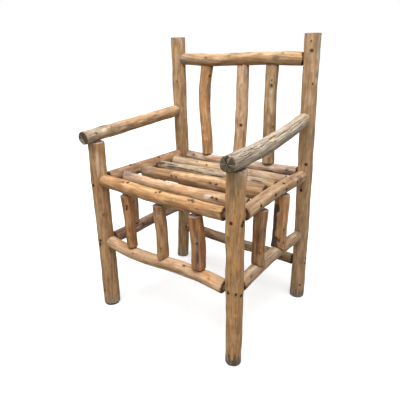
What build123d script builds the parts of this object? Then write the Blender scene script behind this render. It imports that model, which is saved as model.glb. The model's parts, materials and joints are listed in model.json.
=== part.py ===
from build123d import *
import os
from math import cos, pi, radians, sin, sqrt

# Twig chair: an armchair of peeled branches with turned round tenons, locked by nails.
# Millimetres. +Z is up, the sitter faces -Y, and left and right are as seen from the front.
# Each branch has a bent centre line and tapers from one end to the other.

# ---- plan: where the post axes meet the floor, and how far each post leans by its top
front_left_x = -256.0
front_right_x = 260.5
rear_left_x = -270.0
rear_right_x = 269.5
front_y = -213.5
rear_y = 214.5
front_left_lean = (-0.5, 0.0)
front_right_lean = (-1.5, -0.5)
rear_left_lean = (5.5, 1.5)
rear_right_lean = (-15.5, -3.0)

# ---- posts: the front ones end under the arms, so their height comes from the arms
rear_post_height = 896.5
lean_height = 898.0          # height over which a lean is measured
front_left_post_foot = 56.0  # diameters at the floor and at the top
front_left_post_top = 51.5
front_right_post_foot = 46.5
front_right_post_top = 52.0
rear_left_post_foot = 47.0
rear_left_post_top = 52.5
rear_right_post_foot = 48.0
rear_right_post_top = 48.0
rear_left_post_bow = 11.0    # how far the middle stands to the right
rear_right_post_bow = 1.5
front_left_post_bow = -0.5
front_right_post_bow = -1.0
rear_left_post_sway = 4.5    # first half to the right, second half to the left
rear_right_post_sway = 1.0
front_left_post_sway = 2.0
front_right_post_sway = 1.5
post_edge = 2.0              # bevel round the sawn ends

# ---- arms: height of the centre line at the front and rear post, and the length past the front post
left_arm_front_height = 610.0
left_arm_rear_height = 637.5
left_arm_front_diameter = 40.0
left_arm_rear_diameter = 41.0
left_arm_sag = 0.5
left_arm_overhang = 50.0
right_arm_front_height = 608.0
right_arm_rear_height = 650.0
right_arm_front_diameter = 44.5
right_arm_rear_diameter = 44.0
right_arm_sag = 11.5
right_arm_overhang = 45.0
arm_edge = 2.5

# ---- crest rail and back spindles
crest_left_height = 821.5
crest_right_height = 824.0
crest_left_diameter = 41.0
crest_right_diameter = 40.5
crest_sag = 1.0
crest_sway = -2.5
back_spindle_1_top_x = -132.0
back_spindle_1_bottom_x = -133.0
back_spindle_1_top_diameter = 43.5
back_spindle_1_bottom_diameter = 40.5
back_spindle_1_bow = -11.0
back_spindle_1_sway = -4.0
back_spindle_2_top_x = 17.5
back_spindle_2_bottom_x = 6.0
back_spindle_2_top_diameter = 42.0
back_spindle_2_bottom_diameter = 44.5
back_spindle_2_bow = 3.5
back_spindle_3_top_x = 125.0
back_spindle_3_bottom_x = 127.0
back_spindle_3_top_diameter = 40.5
back_spindle_3_bottom_diameter = 43.0
back_spindle_3_bow = -1.0

# ---- seat rails
front_rail_left_height = 464.5
front_rail_right_height = 456.5
front_rail_left_diameter = 42.0
front_rail_right_diameter = 38.0
front_rail_sag = 4.5
rear_rail_left_height = 461.5
rear_rail_right_height = 467.5
rear_rail_left_diameter = 34.0
rear_rail_right_diameter = 35.0
rear_rail_sag = 4.0
left_rail_front_height = 461.5
left_rail_rear_height = 462.0
left_rail_front_diameter = 41.0
left_rail_rear_diameter = 41.0
left_rail_sag = 1.5
right_rail_front_height = 452.0
right_rail_rear_height = 461.0
right_rail_front_diameter = 39.0
right_rail_rear_diameter = 41.0
right_rail_rise = 7.0

# ---- seat slats, from the front: where each end meets its side rail, how high, and how thick
slat_1_left_y = -124.0
slat_1_right_y = -118.0
slat_1_left_height = 456.0
slat_1_right_height = 454.0
slat_1_left_diameter = 38.0
slat_1_right_diameter = 37.0
slat_1_sag = 5.5
slat_1_left_gap = 4.0         # bare tenon between the slat and the left seat rail
slat_2_left_y = -50.0
slat_2_right_y = -18.0
slat_2_left_height = 456.0
slat_2_right_height = 459.5
slat_2_left_diameter = 41.0
slat_2_right_diameter = 46.5
slat_2_rise = 1.0
slat_2_left_gap = 16.0
slat_3_left_y = 42.0
slat_3_right_y = 45.0
slat_3_left_height = 458.0
slat_3_right_height = 464.0
slat_3_left_diameter = 33.0
slat_3_right_diameter = 31.0
slat_3_rise = 2.0
slat_3_left_gap = 13.0
slat_4_left_y = 122.0
slat_4_right_y = 120.0
slat_4_left_height = 458.0
slat_4_right_height = 461.0
slat_4_left_diameter = 38.0
slat_4_right_diameter = 36.0
slat_4_sag = 2.0
slat_4_left_gap = 15.0

# ---- stretchers
front_stretcher_left_height = 250.5
front_stretcher_right_height = 239.0
front_stretcher_left_diameter = 40.0
front_stretcher_right_diameter = 41.0
front_stretcher_sag = 3.0
front_stretcher_sway = -8.0
rear_stretcher_left_height = 146.0
rear_stretcher_right_height = 140.5
rear_stretcher_left_diameter = 40.0
rear_stretcher_right_diameter = 37.5
rear_stretcher_sag = 5.5
left_stretcher_front_height = 243.5
left_stretcher_rear_height = 248.0
left_stretcher_front_diameter = 40.5
left_stretcher_rear_diameter = 40.0
left_stretcher_sway = -2.5
right_stretcher_front_height = 242.5
right_stretcher_rear_height = 249.5
right_stretcher_front_diameter = 39.0
right_stretcher_rear_diameter = 37.0
right_stretcher_rise = 10.0

# ---- lower spindles, between a seat rail and the stretcher under it
front_spindle_1_top_x = -144.0
front_spindle_1_bottom_x = -125.0
front_spindle_1_top_diameter = 35.0
front_spindle_1_bottom_diameter = 33.5
front_spindle_2_top_x = -5.0
front_spindle_2_bottom_x = 3.5
front_spindle_2_top_diameter = 36.5
front_spindle_2_bottom_diameter = 36.0
front_spindle_3_top_x = 129.0
front_spindle_3_bottom_x = 140.0
front_spindle_3_top_diameter = 41.0
front_spindle_3_bottom_diameter = 42.0
right_spindle_1_top_y = -80.0
right_spindle_1_bottom_y = -90.0
right_spindle_1_top_diameter = 40.0
right_spindle_1_bottom_diameter = 38.5
right_spindle_2_top_y = 53.0
right_spindle_2_bottom_y = 38.0
right_spindle_2_top_diameter = 44.5
right_spindle_2_bottom_diameter = 44.5
left_spindle_1_top_y = -76.0
left_spindle_1_bottom_y = -78.0
left_spindle_1_diameter = 36.0
left_spindle_2_top_y = 78.0
left_spindle_2_bottom_y = 82.0
left_spindle_2_diameter = 34.0
lower_spindle_bow = 3.0

# ---- joints
rail_tenon_radius = 10.0     # on rails, stretchers, arms and the front post tops
slat_tenon_radius = 8.0
spindle_tenon_radius = 8.5
tenon_clearance = 0.15       # between a tenon and the wall of its mortise
mortise_end_gap = 1.0        # left at the bottom of a blind mortise
tenon_past_middle = 7.0      # a long tenon runs this far past the middle of what it enters
tenon_web = 3.0              # wood left between two tenons that meet in one branch
tenon_root = 12.0            # length over which a tenon is part of its own branch
mortise_run_in = 20.0        # a mortise is bored from this far outside, so that it opens fully
tight_shoulder = 0.5         # shoulder to the branch it meets, where it was driven home
half_loose_shoulder = 4.0    # the same where some of the tenon shows
loose_shoulder = 6.0
side_loose_shoulder = 8.0
spindle_shoulder = 3.0       # under the seat rails
shoulder_edge = 1.5          # bevel round a square shoulder
full_saddle = 50.0           # deeper than any branch is thick: an end fitted all round its host
back_spindle_saddle = 2.0    # how far the top of a back spindle straddles the crest rail
lower_spindle_saddle = 9.0   # how far the foot of a lower spindle straddles its stretcher
saddle_overrun = 0.03        # share of the length a fully saddled end is grown by before it is cut
right_rail_set_out = 3.0     # the right seat rail enters its front post off the middle, to the right
arm_seat_gap = 0.3           # arm above the flat post top

# ---- nails
nail_length = 38.0
nail_radius = 1.7
nail_head_radius = 3.6
nail_head_thickness = 1.6
nail_tip = 4.0
nail_clearance = 0.1

# Each nail: the branch and the end of it that is locked, 0 or 1; which way its head faces, in degrees from
# the front round to the right, and in degrees above level; and how far the head is moved from the joint
# along what it is driven into, to +X, +Y or +Z.
post_nails = (
    ("front_seat_rail", 0, 0, 0, -14.0),
    ("front_stretcher", 0, 5, 0, 3.0),
    ("front_stretcher", 0, 2, 0, -8.5),
    ("front_seat_rail", 1, 4, 0, -8.5),
    ("front_stretcher", 1, -11, 0, 6.0),
    ("right_seat_rail", 0, 84, 0, -1.5),
    ("right_seat_rail", 0, 74, 0, -9.5),
    ("right_stretcher", 0, 80, 0, -6.5),
    ("crest_rail", 1, 18, 0, 24.5),
    ("rear_seat_rail", 1, 27, 0, 35.0),
    ("right_seat_rail", 1, 0, 0, -46.5),
    ("rear_stretcher", 1, 88, 0, 16.0),
    ("rear_stretcher", 1, 84, 0, -1.5),
    ("left_seat_rail", 0, -90, 0, -4.0),
    ("left_stretcher", 0, -90, 0, 2.0),
    ("left_seat_rail", 1, -90, 0, 3.0),
    ("crest_rail", 0, -90, 0, 4.0),
    ("rear_stretcher", 0, -90, 0, -3.0),
    ("left_stretcher", 1, 180, 0, 2.0),
    ("right_stretcher", 1, 180, 0, -2.0),
    ("left_arm", 1, 180, 0, 3.0),
    ("right_arm", 1, 180, 0, -3.0),
    ("rear_seat_rail", 0, 180, 0, 4.0),
)
rail_nails = (
    ("front_lower_spindle_1", 0, 0, 78, 25.0),
    ("front_lower_spindle_2", 0, 0, 78, 15.0),
    ("front_lower_spindle_3", 0, 0, 78, -3.0),
    ("left_lower_spindle_1", 0, -90, 85, 2.0),
    ("left_lower_spindle_2", 0, -90, 85, -3.0),
    ("back_spindle_1", 0, 180, 15, 3.0),
    ("back_spindle_2", 0, 180, 15, -2.0),
    ("back_spindle_3", 0, 180, 15, 4.0),
    ("back_spindle_1", 1, 180, -10, -3.0),
    ("back_spindle_2", 1, 180, -10, 4.0),
    ("back_spindle_3", 1, 180, -10, 2.0),
)
slat_nails = (
    ("seat_slat_1", 1, 90, 10, -2.0),
    ("seat_slat_2", 1, 90, 10, -17.5),
    ("seat_slat_3", 1, 90, 0, -10.5),
    ("seat_slat_3", 1, 90, 62, -10.0),
    ("seat_slat_4", 1, 90, 8, -8.0),
    ("seat_slat_1", 0, -90, 15, -4.0),
    ("seat_slat_2", 0, -90, 15, 5.0),
    ("seat_slat_3", 0, -90, 15, -2.0),
    ("seat_slat_4", 0, -90, 15, 3.0),
)

ring_count = 7               # sections that shape one branch


class Branch:
    """A tapering branch with a bent centre line, from its first end, 0, to its last end, 1."""

    def __init__(self, first, last, first_diameter, last_diameter, bow=(0, 0, 0), sway=(0, 0, 0)):
        self.first = Vector(first)
        self.last = Vector(last)
        self.first_radius = first_diameter / 2
        self.last_radius = last_diameter / 2
        self.bow = Vector(bow)
        self.sway = Vector(sway)
        self.edges = [shoulder_edge, shoulder_edge]   # bevels round the rims of the ends
        self.level_ends = False
        self.saddles = {}  # by end: what is cut away to fit it on its host
        self.overruns = [0.0, 0.0]   # share of the length that each end is grown by before it is cut
        self.joints = {}   # by end: the host, and the place in it that nails are aimed at
        self.tenons = []   # added to the branch
        self.bores = []    # mortises

    def centre(self, t):
        straight = self.first + (self.last - self.first) * t
        return straight + self.bow * sin(pi * t) + self.sway * sin(2 * pi * t)

    def heading(self, t):
        along = self.last - self.first
        along += self.bow * (pi * cos(pi * t))
        along += self.sway * (2 * pi * cos(2 * pi * t))
        return along.normalized()

    def radius(self, t):
        return self.first_radius + (self.last_radius - self.first_radius) * t

    def long_axis(self):
        """X, Y or Z: the way the branch mostly runs."""
        run = self.last - self.first
        return max("XYZ", key=lambda axis: abs(getattr(run, axis)))

    def at(self, value):
        """Place along the branch, 0 to 1, where its long axis has this value."""
        axis = self.long_axis()
        start = getattr(self.first, axis)
        end = getattr(self.last, axis)
        return (value - start) / (end - start)

    def body(self):
        """The branch with its ends cut to shape, before tenons and mortises."""
        start = -self.overruns[0]
        stop = 1 + self.overruns[1]
        # where the rings start: off to one side, clear of what is joined on at a right angle
        side = Vector(1, 1, 0) if self.long_axis() == "Z" else Vector(1, 1, 1)
        rings = []
        for i in range(ring_count):
            t = start + (stop - start) * i / (ring_count - 1)
            ring = Plane(origin=self.centre(t), x_dir=side, z_dir=self.facing(t))
            rings.append(ring * Circle(self.radius(t)))
        shape = loft(rings)
        for end, edge in enumerate(self.edges):
            shape -= self.saddles[end] if end in self.saddles else self.bevel(end, edge)
        return shape

    def facing(self, t):
        """The way a section or an end faces; a post is sawn level."""
        level = self.level_ends and t in (0, 1)
        return Vector(0, 0, 1) if level else self.heading(t)

    def bevel(self, end, edge):
        """What is cut away to bevel the rim of an end."""
        radius = self.radius(end)
        corner = Polyline((radius - 2 * edge, edge), (radius + edge, edge), (radius + edge, -2 * edge),
                          close=True)
        ring = revolve(Plane.XZ * make_face(corner), Axis.Z)
        outward = self.facing(end) * (2 * end - 1)
        return Plane(origin=self.centre(end), z_dir=outward).location * ring


def rod(start, heading, length, radius):
    """A straight round rod from a point along a heading."""
    return Solid.make_cylinder(radius, length, Plane(origin=start, z_dir=heading))


def add_tenon(branch, end, host, heading, reach, aim, radius):
    """Turn a tenon on one end of a branch and bore its mortise; nails aim this far from the shoulder."""
    shoulder = branch.centre(end)
    branch.tenons.append(rod(shoulder - heading * tenon_root, heading, tenon_root + reach, radius))
    branch.joints[end] = (host, shoulder + heading * aim)
    mouth = shoulder - heading * mortise_run_in
    host.bores.append(rod(mouth, heading, mortise_run_in + reach + mortise_end_gap,
                          radius + tenon_clearance))


def shoulder_distance(host, place, gap, branch, end, saddle=0.0):
    """How far a branch ends from the middle of its host, which it may straddle with a saddle."""
    radius = branch.radius(end)
    clear = host.radius(place) + gap
    if saddle:
        fitted_all_round = sqrt(max(clear ** 2 - radius ** 2, 0.0))
        return max(clear - saddle, fitted_all_round)
    # a square shoulder that leans along its host touches with one edge first
    return clear + radius * abs(branch.heading(end).dot(host.heading(place)))


def between(hosts, places, diameters, gaps, reaches, tenon_radius, bow=(0, 0, 0), sway=(0, 0, 0),
            saddles=(0.0, 0.0), offsets=((0, 0, 0), (0, 0, 0))):
    """A branch tenoned into two others, at a place from 0 to 1 along each.

    A gap is from a shoulder to its host. A reach is how far a tenon runs past the middle of its host.
    A saddle is how far an end straddles its host, 0 for a square shoulder."""
    meets = [host.centre(place) + Vector(offset) for host, place, offset in zip(hosts, places, offsets)]
    line = (meets[1] - meets[0]).normalized()
    full = Branch(meets[0], meets[1], diameters[0], diameters[1], bow, sway)
    shoulders = []
    for end, (host, place) in enumerate(zip(hosts, places)):
        shoulders.append(shoulder_distance(host, place, gaps[end], full, end, saddles[end]))
    branch = Branch(meets[0] + line * shoulders[0], meets[1] - line * shoulders[1],
                    diameters[0], diameters[1], bow, sway)
    for end, (host, place) in enumerate(zip(hosts, places)):
        if saddles[end]:
            axis = host.heading(place)
            height = 2 * (host.radius(place) + diameters[end])
            base = meets[end] - axis * (height / 2)
            branch.saddles[end] = rod(base, axis, height, host.radius(place) + gaps[end])
        if saddles[end] == full_saddle:
            branch.overruns[end] = saddle_overrun
        outward = branch.heading(end) * (2 * end - 1)
        reach = shoulders[end] + reaches[end]
        aim = shoulders[end] if reaches[end] > 0 else (gaps[end] + reach) / 2
        add_tenon(branch, end, host, outward, reach, aim, tenon_radius)
    return branch


long_reach = tenon_past_middle
short_reach = -(rail_tenon_radius + tenon_web)


# ---------------------------------------------------------------- posts and arms
def post(x, y, lean, height, foot_diameter, top_diameter, bow, sway):
    """A standing branch sawn level at both ends; its lean is given at lean_height."""
    share = height / lean_height
    top = (x + lean[0] * share, y + lean[1] * share, height)
    branch = Branch((x, y, 0), top, foot_diameter, top_diameter, (bow, 0, 0), (sway, 0, 0))
    branch.level_ends = True
    branch.edges = [post_edge, post_edge]
    return branch


rear_left_post = post(rear_left_x, rear_y, rear_left_lean, rear_post_height, rear_left_post_foot,
                      rear_left_post_top, rear_left_post_bow, rear_left_post_sway)
rear_right_post = post(rear_right_x, rear_y, rear_right_lean, rear_post_height, rear_right_post_foot,
                       rear_right_post_top, rear_right_post_bow, rear_right_post_sway)


def arm_and_post(rear_post, foot_x, lean, foot_diameter, top_diameter, post_bow, post_sway,
                 front_height, rear_height, front_diameter, rear_diameter, sag, overhang):
    """An arm let into a rear post, and the front post whose flat top carries it."""
    share = front_height / lean_height
    over_post = Vector(foot_x + lean[0] * share, front_y + lean[1] * share, front_height)
    place = rear_post.at(rear_height)
    meet = rear_post.centre(place)
    line = (meet - over_post).normalized()
    full = Branch(over_post, meet, front_diameter, rear_diameter, (0, 0, -sag))
    shoulder = shoulder_distance(rear_post, place, tight_shoulder, full, 1)
    arm = Branch(over_post - line * overhang, meet - line * shoulder,
                 front_diameter, rear_diameter, (0, 0, -sag))
    arm.edges[0] = arm_edge
    add_tenon(arm, 1, rear_post, arm.heading(1), shoulder + long_reach, shoulder, rail_tenon_radius)

    # the flat top lies just under the lowest place of the arm above it
    front_edge = arm.at(over_post.Y - top_diameter / 2)
    top_height = arm.centre(front_edge).Z - arm.radius(front_edge) - arm_seat_gap
    front_post = post(foot_x, front_y, lean, top_height, foot_diameter, top_diameter, post_bow, post_sway)
    middle = arm.centre(arm.at(front_post.last.Y)).Z - top_height
    add_tenon(front_post, 1, arm, Vector(0, 0, 1), middle + long_reach, middle, rail_tenon_radius)
    return arm, front_post


left_arm, front_left_post = arm_and_post(
    rear_left_post, front_left_x, front_left_lean, front_left_post_foot, front_left_post_top,
    front_left_post_bow, front_left_post_sway, left_arm_front_height, left_arm_rear_height,
    left_arm_front_diameter, left_arm_rear_diameter, left_arm_sag, left_arm_overhang)
right_arm, front_right_post = arm_and_post(
    rear_right_post, front_right_x, front_right_lean, front_right_post_foot, front_right_post_top,
    front_right_post_bow, front_right_post_sway, right_arm_front_height, right_arm_rear_height,
    right_arm_front_diameter, right_arm_rear_diameter, right_arm_sag, right_arm_overhang)

# every branch by name; the front posts first, as they carry the arms
branches = {
    "front_left_post": front_left_post,
    "front_right_post": front_right_post,
    "rear_left_post": rear_left_post,
    "rear_right_post": rear_right_post,
    "left_arm": left_arm,
    "right_arm": right_arm,
}


# ---------------------------------------------------------------- rails and stretchers
def rail(name, posts, heights, diameters, gaps, reaches, rise=0.0, sway=0.0, saddles=(0.0, 0.0),
         set_out=0.0):
    """A level branch between two posts."""
    places = [post.at(height) for post, height in zip(posts, heights)]
    offsets = ((set_out, 0, 0), (0, 0, 0))
    branches[name] = between(posts, places, diameters, gaps, reaches, rail_tenon_radius,
                             (0, 0, rise), (0, 0, sway), saddles, offsets)


front_posts = (front_left_post, front_right_post)
rear_posts = (rear_left_post, rear_right_post)
left_posts = (front_left_post, rear_left_post)
right_posts = (front_right_post, rear_right_post)

# tenons that run from left to right pass the middle of a post, those at the same height from front
# to back stop short of them
long_tenons = (long_reach, long_reach)
short_tenons = (short_reach, short_reach)
front_short_tenons = (short_reach, long_reach)

rail("crest_rail", rear_posts, (crest_left_height, crest_right_height),
     (crest_left_diameter, crest_right_diameter), (tight_shoulder, half_loose_shoulder), long_tenons,
     -crest_sag, crest_sway, (full_saddle, full_saddle))
rail("front_seat_rail", front_posts, (front_rail_left_height, front_rail_right_height),
     (front_rail_left_diameter, front_rail_right_diameter), (tight_shoulder, loose_shoulder),
     long_tenons, -front_rail_sag, saddles=(full_saddle, 0.0))
rail("rear_seat_rail", rear_posts, (rear_rail_left_height, rear_rail_right_height),
     (rear_rail_left_diameter, rear_rail_right_diameter), (half_loose_shoulder, tight_shoulder),
     long_tenons, -rear_rail_sag)
rail("left_seat_rail", left_posts, (left_rail_front_height, left_rail_rear_height),
     (left_rail_front_diameter, left_rail_rear_diameter), (side_loose_shoulder, tight_shoulder),
     short_tenons, -left_rail_sag)
rail("right_seat_rail", right_posts, (right_rail_front_height, right_rail_rear_height),
     (right_rail_front_diameter, right_rail_rear_diameter), (side_loose_shoulder, tight_shoulder),
     short_tenons, right_rail_rise, set_out=right_rail_set_out)
rail("front_stretcher", front_posts, (front_stretcher_left_height, front_stretcher_right_height),
     (front_stretcher_left_diameter, front_stretcher_right_diameter), (tight_shoulder, loose_shoulder),
     long_tenons, -front_stretcher_sag, front_stretcher_sway, (full_saddle, 0.0))
rail("rear_stretcher", rear_posts, (rear_stretcher_left_height, rear_stretcher_right_height),
     (rear_stretcher_left_diameter, rear_stretcher_right_diameter), (tight_shoulder, tight_shoulder),
     long_tenons, -rear_stretcher_sag)
rail("left_stretcher", left_posts, (left_stretcher_front_height, left_stretcher_rear_height),
     (left_stretcher_front_diameter, left_stretcher_rear_diameter), (loose_shoulder, tight_shoulder),
     front_short_tenons, sway=left_stretcher_sway)
rail("right_stretcher", right_posts, (right_stretcher_front_height, right_stretcher_rear_height),
     (right_stretcher_front_diameter, right_stretcher_rear_diameter),
     (tight_shoulder, half_loose_shoulder), front_short_tenons, right_stretcher_rise)


# ---------------------------------------------------------------- seat slats
def slat(name, ends_y, heights, diameters, rise, left_gap):
    """A seat branch between the side rails, each end at its own height on the rail."""
    side_rails = (branches["left_seat_rail"], branches["right_seat_rail"])
    places = [side_rail.at(y) for side_rail, y in zip(side_rails, ends_y)]
    offsets = []
    for side_rail, place, height in zip(side_rails, places, heights):
        offsets.append((0, 0, height - side_rail.centre(place).Z))
    branches[name] = between(side_rails, places, diameters, (left_gap, tight_shoulder),
                             long_tenons, slat_tenon_radius, (0, 0, rise), offsets=offsets)


slat("seat_slat_1", (slat_1_left_y, slat_1_right_y), (slat_1_left_height, slat_1_right_height),
     (slat_1_left_diameter, slat_1_right_diameter), -slat_1_sag, slat_1_left_gap)
slat("seat_slat_2", (slat_2_left_y, slat_2_right_y), (slat_2_left_height, slat_2_right_height),
     (slat_2_left_diameter, slat_2_right_diameter), slat_2_rise, slat_2_left_gap)
slat("seat_slat_3", (slat_3_left_y, slat_3_right_y), (slat_3_left_height, slat_3_right_height),
     (slat_3_left_diameter, slat_3_right_diameter), slat_3_rise, slat_3_left_gap)
slat("seat_slat_4", (slat_4_left_y, slat_4_right_y), (slat_4_left_height, slat_4_right_height),
     (slat_4_left_diameter, slat_4_right_diameter), -slat_4_sag, slat_4_left_gap)


# ---------------------------------------------------------------- spindles
def spindle(name, upper_name, lower_name, ends_at, diameters, bow=0.0, sway=0.0, saddles=(0.0, 0.0)):
    """An upright branch between two level ones; the bend runs the way they do."""
    upper = branches[upper_name]
    lower = branches[lower_name]
    way = Vector(1, 0, 0) if upper.long_axis() == "X" else Vector(0, 1, 0)
    # a side seat rail also holds slats, so a spindle stops short of their tenons
    top_reach = long_reach if upper.long_axis() == "X" else -(slat_tenon_radius + tenon_web)
    top_gap = tight_shoulder if saddles[0] else spindle_shoulder
    branches[name] = between((upper, lower), (upper.at(ends_at[0]), lower.at(ends_at[1])), diameters,
                             (top_gap, tight_shoulder), (top_reach, long_reach),
                             spindle_tenon_radius, way * bow, way * sway, saddles)


top_saddle = (back_spindle_saddle, 0.0)
foot_saddle = (0.0, lower_spindle_saddle)

back = ("crest_rail", "rear_seat_rail")
spindle("back_spindle_1", *back, (back_spindle_1_top_x, back_spindle_1_bottom_x),
        (back_spindle_1_top_diameter, back_spindle_1_bottom_diameter),
        back_spindle_1_bow, back_spindle_1_sway, top_saddle)
spindle("back_spindle_2", *back, (back_spindle_2_top_x, back_spindle_2_bottom_x),
        (back_spindle_2_top_diameter, back_spindle_2_bottom_diameter), back_spindle_2_bow,
        saddles=top_saddle)
spindle("back_spindle_3", *back, (back_spindle_3_top_x, back_spindle_3_bottom_x),
        (back_spindle_3_top_diameter, back_spindle_3_bottom_diameter), back_spindle_3_bow,
        saddles=top_saddle)

below_front = ("front_seat_rail", "front_stretcher")
spindle("front_lower_spindle_1", *below_front, (front_spindle_1_top_x, front_spindle_1_bottom_x),
        (front_spindle_1_top_diameter, front_spindle_1_bottom_diameter), lower_spindle_bow)
spindle("front_lower_spindle_2", *below_front, (front_spindle_2_top_x, front_spindle_2_bottom_x),
        (front_spindle_2_top_diameter, front_spindle_2_bottom_diameter), lower_spindle_bow,
        saddles=foot_saddle)
spindle("front_lower_spindle_3", *below_front, (front_spindle_3_top_x, front_spindle_3_bottom_x),
        (front_spindle_3_top_diameter, front_spindle_3_bottom_diameter), lower_spindle_bow)

below_right = ("right_seat_rail", "right_stretcher")
spindle("right_lower_spindle_1", *below_right, (right_spindle_1_top_y, right_spindle_1_bottom_y),
        (right_spindle_1_top_diameter, right_spindle_1_bottom_diameter), -lower_spindle_bow,
        saddles=foot_saddle)
spindle("right_lower_spindle_2", *below_right, (right_spindle_2_top_y, right_spindle_2_bottom_y),
        (right_spindle_2_top_diameter, right_spindle_2_bottom_diameter), lower_spindle_bow,
        saddles=foot_saddle)

below_left = ("left_seat_rail", "left_stretcher")
spindle("left_lower_spindle_1", *below_left, (left_spindle_1_top_y, left_spindle_1_bottom_y),
        (left_spindle_1_diameter, left_spindle_1_diameter), lower_spindle_bow)
spindle("left_lower_spindle_2", *below_left, (left_spindle_2_top_y, left_spindle_2_bottom_y),
        (left_spindle_2_diameter, left_spindle_2_diameter), -lower_spindle_bow)


# ---------------------------------------------------------------- nails
def nail_shape(extra, above):
    """A nail pointing down with its head at Z 0, grown all round by a clearance."""
    head = nail_head_radius + extra
    shank = nail_radius + extra
    under_head = -nail_head_thickness - extra
    outline = Polyline((0, above), (head, above), (head, under_head), (shank, under_head),
                       (shank, nail_tip - nail_length), (0, -nail_length - extra), close=True)
    return revolve(Plane.XZ * make_face(outline), Axis.Z)


nail = nail_shape(0.0, 0.0)
nail_bore = nail_shape(nail_clearance, nail_head_radius)


def nail_place(name, end, turn, tilt, shift):
    """Where a nail sits: its head in the surface of what it is driven into, its point at the joint."""
    host, aim = branches[name].joints[end]
    t = host.at(getattr(aim, host.long_axis()) + shift)
    level = Vector(sin(radians(turn)), -cos(radians(turn)), 0)
    outward = level * cos(radians(tilt)) + Vector(0, 0, sin(radians(tilt)))
    head = host.centre(t) + outward * host.radius(t)
    return Plane(origin=head, z_dir=head - aim).location


nail_groups = {"post_nails": post_nails, "rail_nails": rail_nails, "slat_nails": slat_nails}
nail_places = {}
for group, rows in nail_groups.items():
    nail_places[group] = [nail_place(*row) for row in rows]


# ---------------------------------------------------------------- finished pieces
def overlap(first, second):
    """True where two bounding boxes share some space."""
    near = first.min.X < second.max.X and second.min.X < first.max.X
    near = near and first.min.Y < second.max.Y and second.min.Y < first.max.Y
    return near and first.min.Z < second.max.Z and second.min.Z < first.max.Z


pieces = {}
for group, places in nail_places.items():
    pieces[group] = Compound([place * nail for place in places])

nail_bores = [place * nail_bore for places in nail_places.values() for place in places]
for name, branch in branches.items():
    piece = branch.body()
    for tenon in branch.tenons:
        piece += tenon
    box = piece.bounding_box()
    for bore in branch.bores:
        piece -= bore
    for bore in nail_bores:
        if overlap(bore.bounding_box(), box):
            piece -= bore
    pieces[name] = piece

# the middle of the whole chair on the floor becomes the origin
whole = Compound(list(pieces.values())).bounding_box()
to_origin = Location((-whole.center().X, -whole.center().Y, -whole.min.Z))
os.makedirs("parts", exist_ok=True)
for name, piece in pieces.items():
    export_step(to_origin * piece, f"parts/{name}.step")
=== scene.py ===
import json
import math

import bpy
import numpy as np
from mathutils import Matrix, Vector
from mathutils.bvhtree import BVHTree

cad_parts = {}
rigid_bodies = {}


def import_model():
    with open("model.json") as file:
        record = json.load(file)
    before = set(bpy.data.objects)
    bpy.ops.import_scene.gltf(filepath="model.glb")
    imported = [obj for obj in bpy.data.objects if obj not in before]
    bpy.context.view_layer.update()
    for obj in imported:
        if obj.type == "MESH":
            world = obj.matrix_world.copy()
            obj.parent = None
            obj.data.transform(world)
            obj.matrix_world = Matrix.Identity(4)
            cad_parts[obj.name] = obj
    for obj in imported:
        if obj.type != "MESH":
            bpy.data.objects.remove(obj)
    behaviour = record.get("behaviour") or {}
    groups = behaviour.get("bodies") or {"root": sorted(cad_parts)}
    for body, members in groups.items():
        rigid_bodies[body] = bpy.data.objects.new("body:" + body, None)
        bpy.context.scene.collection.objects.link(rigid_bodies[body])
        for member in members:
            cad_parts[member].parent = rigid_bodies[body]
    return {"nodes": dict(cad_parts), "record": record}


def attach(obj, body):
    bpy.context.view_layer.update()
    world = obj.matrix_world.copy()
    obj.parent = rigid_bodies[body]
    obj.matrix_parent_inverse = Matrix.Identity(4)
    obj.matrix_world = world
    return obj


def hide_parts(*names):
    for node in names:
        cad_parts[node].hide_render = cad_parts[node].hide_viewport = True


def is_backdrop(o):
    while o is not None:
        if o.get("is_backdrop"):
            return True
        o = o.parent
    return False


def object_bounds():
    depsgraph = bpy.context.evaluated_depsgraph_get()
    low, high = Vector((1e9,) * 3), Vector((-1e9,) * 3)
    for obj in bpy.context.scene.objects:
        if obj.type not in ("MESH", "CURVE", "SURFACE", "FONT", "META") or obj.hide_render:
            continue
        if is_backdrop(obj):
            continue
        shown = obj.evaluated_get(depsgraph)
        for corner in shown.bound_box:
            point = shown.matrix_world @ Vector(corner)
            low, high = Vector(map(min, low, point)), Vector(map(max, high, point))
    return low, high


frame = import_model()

bl_info = {
    "name": "Twig Chair",
    "version": (1, 0, 0),
    "blender": (4, 5, 0),
    "location": "3D View > Sidebar > Twig Chair",
    "description": "Dresses the twig chair's branches and nails and sets it on a plain stage",
    "category": "Add Mesh",
}

MM = 0.001
TURN = 2 * math.pi
CHAIR_LOW, CHAIR_HIGH = (np.array(corner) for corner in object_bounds())
SLOTS = {part["node"]: part["material_slot"] for part in frame["record"]["subparts"]}
FINISHES = {"peeled_wood": "peeled_branch", "weathered_wood": "weathered_branch",
            "barky_wood": "barky_branch", "nail_iron": "dull_nail_iron"}

# Each wood's roughness and the depth of its streaks.
WOODS = {"peeled_wood": (0.5, 1.0), "weathered_wood": (0.66, 1.15), "barky_wood": (0.6, 1.0)}

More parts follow.
